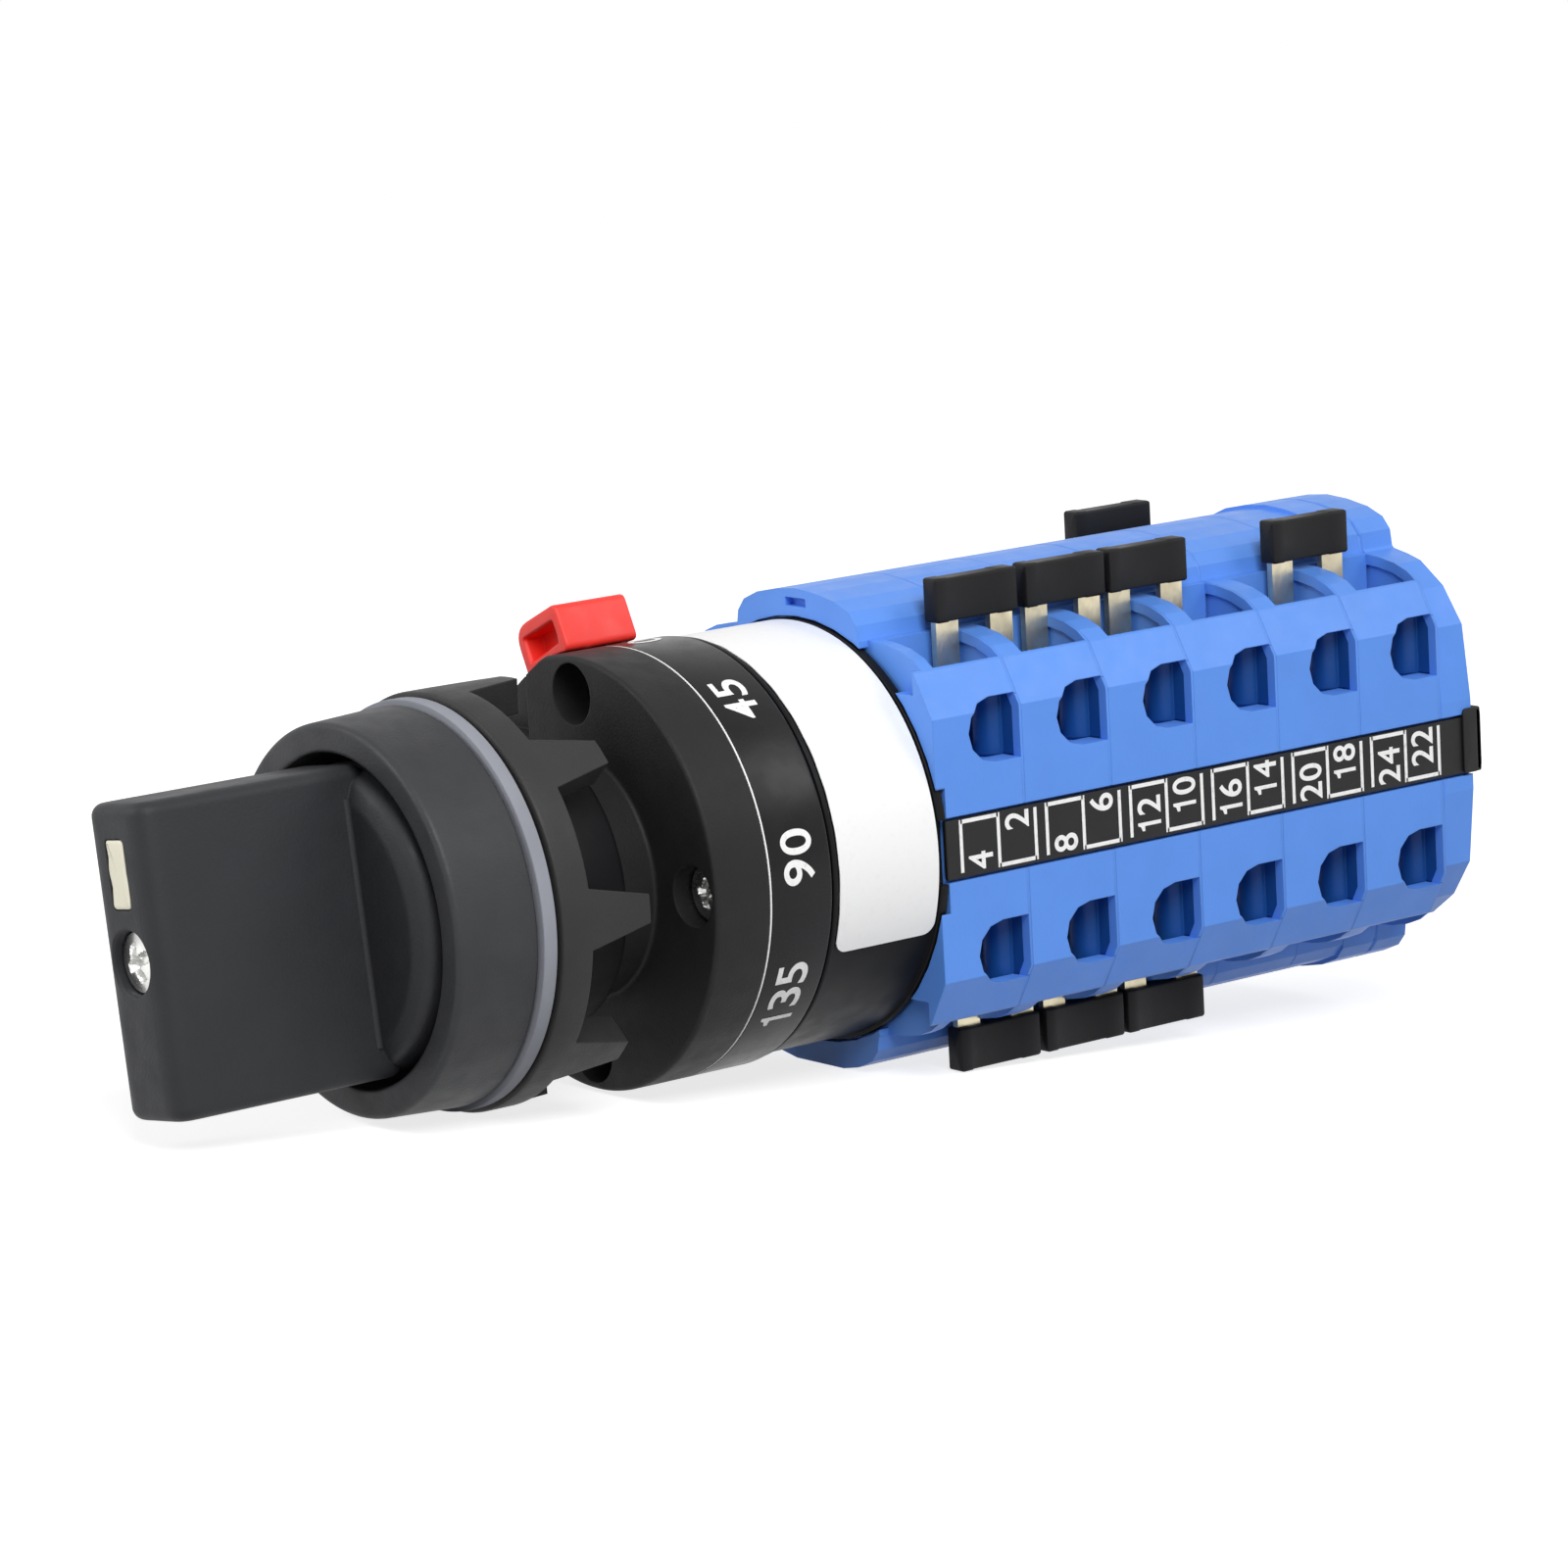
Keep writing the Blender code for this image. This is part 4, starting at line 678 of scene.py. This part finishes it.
piece("dial_band", turned(eased(dial_profile, (0.05, 0.08, 0.35, 0.1), 4)), dial_black, "base",
      "dial_plastic", ("dial_ring",), close_rows=True)
line_profile = oblong(JOINT_LINE_INSIDE, JOINT_LINE_FRONT, JOINT_LINE_OUTSIDE, JOINT_LINE_REAR)
piece("dial_line", turned(line_profile), white_ink, "base", "dial_plastic", close_rows=True)
marks = []
for digits, turn in POSITIONS:
    flat, loops = lettering(digits, DIAL_TALL, DIAL_WIDE, DIAL_GAP)
    around = np.radians(turn) - flat[:, 0] / DRUM_RADIUS
    on_dial = np.c_[DIAL_INK_RADIUS * np.sin(around), DIAL_DEPTH - flat[:, 1],
                    DIAL_INK_RADIUS * np.cos(around)]
    marks.append((on_dial, loops))
ink("dial_numbers", marks, white_ink, "base", "dial_plastic")

# Front adaptor
# A thick black flange bolted to the drum by four recessed cross-slot screws, of which the upper and the
# lower one stand deeper. Its hub butts on the neck of the front element, and a notch beside the latch leaves
# room for the latch to slide.
HUB_FRONT, HUB_RADIUS, HUB_HOLE = 13.3, 12.5, 4.9
FLANGE_FRONT, FLANGE_REAR = 18.3, 25.0
BOLT_RING, BOLT_HEAD_FACE, DEEP_BOLT_SINK = 18.6, 19.7, 2.4
BOLT_HEAD_TALL, BOLT_TIP = 1.5, 32.2
COUNTERBORE, COUNTERBORE_PAST_FACE = 3.2, 1.55
PASSAGE, PASSAGE_FRONT = 1.7, 21.0
CUT_FRONT, CUT_REAR = 17.0, 26.0
NOTCH_WALL, NOTCH_END, NOTCH_FLOOR = -7.85, -20.0, 21.4
body_black = moulded("body_moulding", (0.016, 0.016, 0.017), 0.50, grain=0.30, cloud=0.10, edge=0.25,
                     cell=0.3, specular=0.16)
adaptor_profile = [(HUB_HOLE, HUB_FRONT), (HUB_RADIUS, HUB_FRONT), (HUB_RADIUS, FLANGE_FRONT),
                   (DRUM_RADIUS, FLANGE_FRONT), (DRUM_RADIUS, FLANGE_REAR), (HUB_HOLE, FLANGE_REAR)]
adaptor = piece("adaptor_flange", turned(eased(adaptor_profile, (0.1, 0.4, 0.5, 0.55, 0.08, 0.1), 5)),
                body_black, "base", "body_plastic", ("front_adaptor",), close_rows=True)
circle = np.linspace(0.0, 2.0 * np.pi, 48, endpoint=False)


def set_in(screw, degrees, x, head_face, z):
    """A screw's grid with its axis along Y and its head forwards at the given place, turned by degrees."""
    spin = np.radians(degrees)
    across = screw[..., 1] * np.cos(spin) - screw[..., 2] * np.sin(spin)
    up = screw[..., 1] * np.sin(spin) + screw[..., 2] * np.cos(spin)
    return np.stack([x + across, head_face - screw[..., 0], z + up], -1)


for number in range(4):
    turn = np.radians(90.0 * number)
    x, z = BOLT_RING * np.sin(turn), BOLT_RING * np.cos(turn)
    head_face = BOLT_HEAD_FACE + (DEEP_BOLT_SINK if number in (0, 2) else 0.0)
    counterbore = np.c_[x + COUNTERBORE * np.cos(circle), z + COUNTERBORE * np.sin(circle)]
    cut_from(adaptor, prism(counterbore, [(0.0, CUT_FRONT), (0.0, head_face + COUNTERBORE_PAST_FACE)]))
    passage = np.c_[x + PASSAGE * np.cos(circle), z + PASSAGE * np.sin(circle)]
    cut_from(adaptor, prism(passage, [(0.0, PASSAGE_FRONT), (0.0, CUT_REAR)]))
    bolt = screw_grid(head_radius=2.85, head_height=BOLT_HEAD_TALL, shank_radius=1.4,
                      length=BOLT_TIP - head_face, slot_long=3.3, slot_wide=0.75, slot_deep=0.9)
    piece("adaptor_bolt_%d" % (number + 1), set_in(bolt, 65.0 - 70.0 * number, x, head_face, z), zinc,
          "base", "zinc_screw", ("adaptor_screw_%d" % (number + 1),))
# The notch is open to the left of its upright wall, with one slanting corner at the rim.
notch = np.array([(NOTCH_END, HUB_FRONT), (NOTCH_WALL, HUB_FRONT), (NOTCH_WALL, 19.8), (-3.5, 22.6),
                  (-3.5, 25.0), (NOTCH_END, 25.0)])
cut_from(adaptor, prism(notch, [(0.0, CUT_FRONT), (0.0, NOTCH_FLOOR)]))

# Latch
# The red locking latch is a hollow slide on the rim of the adaptor. Pushed forwards, it frees the drum from
# the front element. Its foot runs in a slot across the rim.
LATCH_TURN = -24.5
LATCH_WIDE, LATCH_TALL, LATCH_LONG = 8.2, 4.7, 9.0
LATCH_FRONT, LATCH_FLOOR = 22.2, 22.8
LATCH_WALL, LATCH_BROW, LATCH_POCKET = 1.25, 1.5, 2.4
LEG_WIDE, LEFT_LEG, RIGHT_LEG, BELLY = 2.2, 0.9, 0.5, 0.15
SLOT_LOW, SLOT_HIGH = (-3.5, 17.0, 21.0), (1.1, 26.0, 24.0)
FOOT_LEFT, FOOT_RIGHT, FOOT_LOW, FOOT_HIGH = -3.2, 0.8, 21.2, 23.2
FOOT_FRONT, FOOT_REAR = 22.5, 24.7


def turn_round(grid, degrees):
    """The grid turned clockwise about the switch axis."""
    a = np.radians(degrees)
    x = grid[..., 0] * np.cos(a) + grid[..., 2] * np.sin(a)
    z = grid[..., 2] * np.cos(a) - grid[..., 0] * np.sin(a)
    return np.stack([x, grid[..., 1], z], -1)


red = moulded("red_moulding", (0.92, 0.034, 0.022), 0.42, grain=0.05, cloud=0.05, edge=0.3)
red_shader = red.node_tree.nodes["Principled BSDF"]
red_shader.inputs["Subsurface Weight"].default_value = 0.6
red_shader.inputs["Subsurface Radius"].default_value = (0.004, 0.0008, 0.0006)
half_latch = LATCH_WIDE / 2.0
roof = LATCH_FLOOR + LATCH_TALL
shell_edge = eased([(-half_latch, LATCH_FLOOR - LEFT_LEG), (-half_latch + LEG_WIDE, LATCH_FLOOR - BELLY),
                    (half_latch - LEG_WIDE, LATCH_FLOOR - BELLY), (half_latch, LATCH_FLOOR - RIGHT_LEG),
                    (half_latch, roof), (-half_latch, roof)], (0.9, 0.8, 0.8, 0.9, 0.9, 2.4), 6)
shell = prism(shell_edge, rounded_ends(LATCH_FRONT, LATCH_FRONT + LATCH_LONG, 0.25, 5))
latch = piece("latch_slide", turn_round(shell, LATCH_TURN), red, "latch", "red_plastic", ("latch",))
pocket_wall, pocket_roof = half_latch - LATCH_WALL, roof - LATCH_BROW
hollow_edge = eased([(-pocket_wall, LATCH_FLOOR + 0.6), (pocket_wall, LATCH_FLOOR + 0.9),
                     (pocket_wall, pocket_roof), (-pocket_wall, pocket_roof)], 0.3, 3)
mouth = [(-0.2, LATCH_FRONT - 1.0), (-0.2, LATCH_FRONT), (0.0, LATCH_FRONT + 0.3),
         (0.0, LATCH_FRONT + LATCH_POCKET)]
cut_from(latch, turn_round(prism(hollow_edge, mouth), LATCH_TURN))
cut_from(adaptor, turn_round(box_grid(SLOT_LOW, SLOT_HIGH), LATCH_TURN))
foot_edge = eased(oblong(FOOT_LEFT, FOOT_LOW, FOOT_RIGHT, FOOT_HIGH), 0.25, 2)
foot = turn_round(prism(foot_edge, rounded_ends(FOOT_FRONT, FOOT_REAR, 0.15, 2)), LATCH_TURN)
piece("latch_foot", foot, red, "latch", "red_plastic")

# Front element
# The satin black bezel and its threaded neck are one moulding. The wide ring lies against the front of the
# panel over a grey rubber gasket, and the neck passes through the panel. The neck is coloured far darker than
# the bezel: painted shade for the shadow that the ring nut's teeth cast over it.
BEZEL_FRONT, BEZEL_REAR, BEZEL_FLOOR = -11.1, -1.9, -2.2
BEZEL_MOUTH, BEZEL_FRONT_RADIUS, BEZEL_REAR_RADIUS = 16.9, 19.9, 20.4
STEM_HOLE = 6.4
NECK_RADIUS, NECK_REAR = 15.0, 13.0
GASKET_HOLE, GASKET_RADIUS, GASKET_THICK = 15.3, 20.9, 1.6
bezel_black = moulded("bezel_moulding", (0.027, 0.028, 0.031), 0.50, grain=0.32, cloud=0.16, edge=0.2,
                      cell=0.3, specular=0.3)
bezel_profile = [(BEZEL_MOUTH, BEZEL_FRONT), (BEZEL_FRONT_RADIUS, BEZEL_FRONT),
                 (BEZEL_REAR_RADIUS, BEZEL_REAR), (STEM_HOLE, BEZEL_REAR), (STEM_HOLE, BEZEL_FLOOR),
                 (BEZEL_MOUTH, BEZEL_FLOOR)]
piece("bezel_ring", turned(eased(bezel_profile, (0.5, 0.75, 0.35, 0.1, 0.1, 0.2), 7)), bezel_black, "base",
      "body_plastic", ("bezel",), close_rows=True)
# Painted shade: the neck's near-black stands for the shadow of the nut's teeth over it.
neck_shade_black = moulded("neck_painted_shade", (0.004, 0.004, 0.005), 0.55, grain=0.1, cloud=0.1, edge=0.2,
                     specular=0.12)
neck_profile = oblong(STEM_HOLE, BEZEL_REAR, NECK_RADIUS, NECK_REAR)
piece("bezel_neck", turned(eased(neck_profile, (0.1, 0.1, 0.6, 0.3), 4)), neck_shade_black, "base",
      "body_plastic", close_rows=True)
rubber = moulded("gasket_rubber", (0.28, 0.29, 0.33), 0.72, grain=0.2, cloud=0.06, edge=0.1, specular=0.3)
gasket_profile = oblong(GASKET_HOLE, -GASKET_THICK, GASKET_RADIUS, 0.0)
piece("gasket_ring", turned(eased(gasket_profile, (0.1, 0.2, 0.15, 0.1), 3)), rubber, "base",
      "gasket_rubber", ("gasket",), close_rows=True)

# Ring nut
# The ring nut clamps the front element from behind the panel. Eight tapered teeth stand on its rear rim for
# the fingers or a spanner.
NUT_RADIUS, NUT_INNER, NUT_BORE = 21.4, 17.8, 15.3
NUT_FACE, NUT_RING, NUT_TOOTH = 0.3, 3.9, 11.0
TEETH, FIRST_TOOTH = 8, -1.0
TOOTH_BASE, TOOTH_TIP = 6.2, 2.9
tooth_step = 2.0 * np.pi / TEETH
base_half, tip_half = TOOTH_BASE / 2.0 / NUT_RADIUS, TOOTH_TIP / 2.0 / NUT_RADIUS
# Round the rim the depth is the ring's, and within each tooth it rises straight from the tooth's base to
# its flat tip.
corner_angles = np.concatenate([
    np.linspace(-tip_half, tip_half, 5), np.linspace(tip_half, base_half, 4)[1:],
    np.linspace(base_half, tooth_step - base_half, 13)[1:],
    np.linspace(tooth_step - base_half, tooth_step - tip_half, 4)[1:-1]])
around = (np.arange(TEETH)[:, None] * tooth_step + corner_angles + np.radians(FIRST_TOOTH)).ravel()
off = np.abs((around - np.radians(FIRST_TOOTH) + tooth_step / 2) % tooth_step - tooth_step / 2)
rise = np.clip((base_half - off) / (base_half - tip_half), 0.0, 1.0)
top = NUT_RING + (NUT_TOOTH - NUT_RING) * rise
level = np.zeros(len(around))
rows = [(NUT_BORE, NUT_FACE + level), (NUT_RADIUS - 0.45, NUT_FACE + level),
        (NUT_RADIUS - 0.12, NUT_FACE + 0.12 + level), (NUT_RADIUS, NUT_FACE + 0.45 + level),
        (NUT_RADIUS, NUT_RING - 0.2 + level), (NUT_RADIUS, top), (NUT_INNER, top),
        (NUT_INNER, NUT_RING + level), (NUT_BORE, NUT_RING + level)]
nut_grid = np.array([np.stack([r * np.sin(around), y, r * np.cos(around)], -1) for r, y in rows])
nut_black = moulded("nut_moulding", (0.024, 0.024, 0.025), 0.50, grain=0.35, cloud=0.12, edge=0.25,
                    cell=0.3, specular=0.25)
nut = piece("clamp_nut", nut_grid, nut_black, "ring_nut", "body_plastic", ("ring_nut",), close_rows=True,
            smooth=28.0)
soften = nut.modifiers.new("soften", "BEVEL")
soften.width = 0.00035
soften.segments = 3
soften.limit_method = "ANGLE"
soften.angle_limit = np.radians(35.0)
soften.harden_normals = True

# Handle
# A blade handle moulded with its round base in matt charcoal plastic. The base turns in the mouth of the
# bezel, and the cross-slot screw in the end of the blade pulls the handle onto the shaft.
HANDLE_TURN = -7.0
HANDLE_FRONT, DISC_FRONT, DISC_REAR = -35.8, -12.0, -2.6
DISC_RADIUS, DISC_SHOULDER, DISC_FLAT = 15.6, 15.1, 13.1
BLADE_THICK, BLADE_TALL, BLADE_ROOT = 10.3, 31.2, -9.0
SCREW_SINK_RADIUS, SCREW_SINK_FLOOR = 3.2, -33.4
SHAFT_BORE_SHARE, SHAFT_BORE_REAR = 0.72, -18.0
POINTER_HALF, POINTER_LOW, POINTER_HIGH = 1.55, 5.35, 12.1
POINTER_PLAY, POINTER_SEAT = 0.12, -34.6
FILLET, FILLET_HALF, FILLET_SUNK = 0.55, 12.4, 0.02
charcoal = moulded("handle_moulding", (0.022, 0.023, 0.026), 0.52, grain=0.32, cloud=0.06, edge=0.25,
                   cell=0.3, specular=0.25)
half_thick, half_tall = BLADE_THICK / 2.0, BLADE_TALL / 2.0
blade_edge = eased(oblong(-half_thick, HANDLE_FRONT, half_thick, BLADE_ROOT), (2.7, 2.7, 2.0, 2.0), 10)
blade = prism(blade_edge, rounded_ends(-half_tall, half_tall, 1.3, 7), "z")
disc_profile = [(0.0, DISC_FRONT), (DISC_FLAT, DISC_FRONT), (DISC_SHOULDER, DISC_FRONT + 0.9),
                (DISC_RADIUS, DISC_FRONT + 2.6), (DISC_RADIUS, DISC_REAR), (0.0, DISC_REAR)]
disc = turned(eased(disc_profile, (0.0, 0.35, 0.8, 0.8, 0.3, 0.0), 6))
handle = piece("handle_base", disc, charcoal, "rotor", "handle_plastic", ("handle",))
blade_piece = piece("tool", turn_round(blade, HANDLE_TURN), charcoal, "rotor", "handle_plastic")
fuse = handle.modifiers.new("fuse", "BOOLEAN")
fuse.operation = "UNION"
fuse.solver = "EXACT"
fuse.object = blade_piece
bake(handle, blade_piece)
before_blade = HANDLE_FRONT - 0.9
screw_sink = SCREW_SINK_RADIUS * np.c_[np.cos(circle), np.sin(circle)]
cut_from(handle, prism(screw_sink, [(-0.35, before_blade), (-0.35, HANDLE_FRONT - 0.05),
                                    (0.0, HANDLE_FRONT + 0.3), (0.0, SCREW_SINK_FLOOR)]))
shaft_bore = screw_sink * SHAFT_BORE_SHARE
cut_from(handle, prism(shaft_bore, [(0.0, SCREW_SINK_FLOOR - 0.3), (0.0, SHAFT_BORE_REAR)]))
pointer_edge = eased([(-POINTER_HALF, POINTER_LOW), (POINTER_HALF, POINTER_LOW), (POINTER_HALF, 8.0),
                      (POINTER_HALF, POINTER_HIGH), (-POINTER_HALF, POINTER_HIGH), (-POINTER_HALF, 9.0)],
                     (0.5, 0.5, 1.5, 0.5, 0.5, 1.5), 5)
pointer_seat = prism(inset(pointer_edge, -POINTER_PLAY), [(0.0, before_blade), (0.0, POINTER_SEAT)])
cut_from(handle, turn_round(pointer_seat, HANDLE_TURN))
# The fillet on each side of the blade's root is a quarter circle carried up the disc.
up_blade = np.linspace(-FILLET_HALF, FILLET_HALF, 25)[:, None]
bend = np.linspace(0.0, np.pi / 2.0, 6)[None, :]
fillets = []
for side in (1, -1):
    x = side * (half_thick - FILLET_SUNK + FILLET * (1.0 - np.cos(bend))) + 0.0 * up_blade
    y = DISC_FRONT + FILLET_SUNK - FILLET * (1.0 - np.sin(bend)) + 0.0 * up_blade
    fillets.append(turn_round(np.stack([x, y, up_blade + 0.0 * x], -1), HANDLE_TURN))
piece("handle_fillets", fillets, charcoal, "rotor", "handle_plastic", close_columns=False)

# Pointer and handle screw
# A cream bar let into the end of the blade shows the position. Below it the screw sits in its counterbore,
# its plating bright and its recess worn by the screwdriver.
POINTER_BACK, POINTER_FACE, POINTER_WAVE = -34.85, -35.8, 0.12
HANDLE_SCREW_FACE, HANDLE_SCREW_TURN = -35.35, 27.0
cream = moulded("cream_moulding", (0.93, 0.89, 0.72), 0.45, grain=0.05, cloud=0.03, edge=0.1)
wave = POINTER_WAVE * np.sin(pointer_edge[:, 1:2] * 1.9) * np.array([(1.0, 0.0)])
pointer = prism(pointer_edge + wave, [(0.0, POINTER_BACK), (0.0, POINTER_FACE + 0.1),
                                      (0.12, POINTER_FACE + 0.02), (0.4, POINTER_FACE)])
piece("pointer_bar", turn_round(pointer, HANDLE_TURN), cream, "rotor", "cream_insert", ("handle_pointer",))
big_screw = screw_grid(head_radius=3.0, head_height=1.5, shank_radius=1.7, length=23.0, slot_long=3.9,
                       slot_wide=0.95, slot_deep=1.1, columns=64)
piece("handle_bolt", set_in(big_screw, HANDLE_SCREW_TURN, 0.0, HANDLE_SCREW_FACE, 0.0), zinc, "rotor",
      "zinc_screw", ("handle_screw",))

# Floor
# The switch lies on a pale matt sheet, on its bezel, its drum and the front edge of the lower sleeves, so
# the sheet leans a little against the switch axis. Away from the switch the sheet fades to plain white.
BEZEL_REST_DEPTH, BEZEL_REST = 0.5, 21.4
SLEEVE_REST_DEPTH, SLEEVE_REST = 55.7, 25.75
SHEET_HALF = 1500.0
FADE_START, FADE_END = 0.10, 0.35
floor_mesh = bpy.data.meshes.new("floor")
lean = np.arctan2(SLEEVE_REST - BEZEL_REST, SLEEVE_REST_DEPTH - BEZEL_REST_DEPTH)
sheet = oblong(-SHEET_HALF, -SHEET_HALF, SHEET_HALF, SHEET_HALF)
corners = np.c_[sheet, -BEZEL_REST - (sheet[:, 1] - BEZEL_REST_DEPTH) * np.tan(lean)] * 0.001
floor_mesh.from_pydata(corners.tolist(), [], [(0, 1, 2, 3)])
floor = bpy.data.objects.new("floor", floor_mesh)
bpy.context.scene.collection.objects.link(floor)
floor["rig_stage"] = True


def seen_directly(nodes, links):
    """Socket that is 1 for light that reaches the camera straight, through glass or by a gloss, else 0."""
    seen = nodes.new("ShaderNodeLightPath")
    direct = nodes.new("ShaderNodeMath")
    direct.operation = "MAXIMUM"
    links.new(seen.outputs["Is Camera Ray"], direct.inputs[0])
    links.new(seen.outputs["Is Transmission Ray"], direct.inputs[1])
    either = nodes.new("ShaderNodeMath")
    either.operation = "MAXIMUM"
    links.new(direct.outputs["Value"], either.inputs[0])
    links.new(seen.outputs["Is Glossy Ray"], either.inputs[1])
    return either.outputs["Value"]


paper = bpy.data.materials.new("floor_paper")
paper.use_nodes = True
nodes, links = paper.node_tree.nodes, paper.node_tree.links
nodes.clear()
out = nodes.new("ShaderNodeOutputMaterial")
matt = nodes.new("ShaderNodeBsdfDiffuse")
matt.inputs["Color"].default_value = (0.5, 0.5, 0.5, 1.0)
lift = nodes.new("ShaderNodeEmission")
lift.inputs["Color"].default_value = (1.0, 1.0, 1.0, 1.0)
far = nodes.new("ShaderNodeVectorMath")
far.operation = "LENGTH"
links.new(nodes.new("ShaderNodeTexCoord").outputs["Object"], far.inputs[0])
fade = nodes.new("ShaderNodeMapRange")
fade.inputs["From Min"].default_value = FADE_START
fade.inputs["From Max"].default_value = FADE_END
fade.inputs["To Min"].default_value = 0.78
fade.inputs["To Max"].default_value = 1.0
links.new(far.outputs["Value"], fade.inputs["Value"])
links.new(fade.outputs["Result"], lift.inputs["Strength"])
lifted = nodes.new("ShaderNodeAddShader")
links.new(matt.outputs["BSDF"], lifted.inputs[0])
links.new(lift.outputs["Emission"], lifted.inputs[1])
pick = nodes.new("ShaderNodeMixShader")
links.new(seen_directly(nodes, links), pick.inputs["Fac"])
links.new(matt.outputs["BSDF"], pick.inputs[1])
links.new(lifted.outputs["Shader"], pick.inputs[2])
links.new(pick.outputs["Shader"], out.inputs["Surface"])
floor_mesh.materials.append(paper)

# Light and camera
# Three square lights stand above the switch: the strongest to its right, one behind it that draws the gloss
# on the dial, and one in front of the handle. The sky behind is white and lights the shadows only weakly.
world = bpy.data.worlds.new("studio")
bpy.context.scene.world = world
world.use_nodes = True
nodes, links = world.node_tree.nodes, world.node_tree.links
nodes.clear()
out = nodes.new("ShaderNodeOutputWorld")
sky = nodes.new("ShaderNodeBackground")
sky.inputs["Color"].default_value = (1.0, 1.0, 1.0, 1.0)
sky.inputs["Strength"].default_value = 0.16
backdrop = nodes.new("ShaderNodeBackground")
backdrop.inputs["Color"].default_value = (1.0, 1.0, 1.0, 1.0)
pick = nodes.new("ShaderNodeMixShader")
links.new(seen_directly(nodes, links), pick.inputs["Fac"])
links.new(sky.outputs["Background"], pick.inputs[1])
links.new(backdrop.outputs["Background"], pick.inputs[2])
links.new(pick.outputs["Shader"], out.inputs["Surface"])


def softbox(name, watts, size, place, target):
    """Square area light at a place, facing a target."""
    lamp = bpy.data.lights.new(name, "AREA")
    lamp.energy = watts
    lamp.size = size
    holder = bpy.data.objects.new(name, lamp)
    bpy.context.scene.collection.objects.link(holder)
    back = np.array(place, float) - np.array(target, float)
    back = back / np.linalg.norm(back)
    right = np.cross((0.0, 0.0, 1.0), back)
    right = right / np.linalg.norm(right)
    up = np.cross(back, right)
    holder.matrix_world = Matrix([[right[i], up[i], back[i], place[i]] for i in range(3)] + [[0, 0, 0, 1]])


softbox("key", 3.35, 0.35, (0.44, -0.14, 0.44), (0.0, 0.02, 0.0))
softbox("side", 1.1, 0.32, (0.45, 0.50, 0.44), (0.0, 0.03, 0.0))
softbox("front", 1.9, 0.35, (-0.30, -0.50, 0.35), (0.0, -0.02, 0.0))

# The focal length is the one that fits the photograph, given in its pixels.
PHOTO_WIDE, FOCAL_PIXELS, SENSOR_WIDE = 1600.0, 6253.0, 36.0
camera = bpy.data.objects.new("camera", bpy.data.cameras.new("camera"))
camera.data.sensor_width = SENSOR_WIDE
camera.data.lens = SENSOR_WIDE * FOCAL_PIXELS / PHOTO_WIDE
camera.data.clip_start, camera.data.clip_end = 0.01, 20.0
camera.matrix_world = Matrix([
    [0.61463, -0.10756, 0.78145, 0.49911], [0.78692, 0.15224, -0.59798, -0.33720],
    [-0.05465, 0.98247, 0.17822, 0.11907], [0.0, 0.0, 0.0, 1.0]])
bpy.context.scene.collection.objects.link(camera)
bpy.context.scene.camera = camera
bpy.context.scene.view_settings.view_transform = "Standard"

low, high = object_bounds()
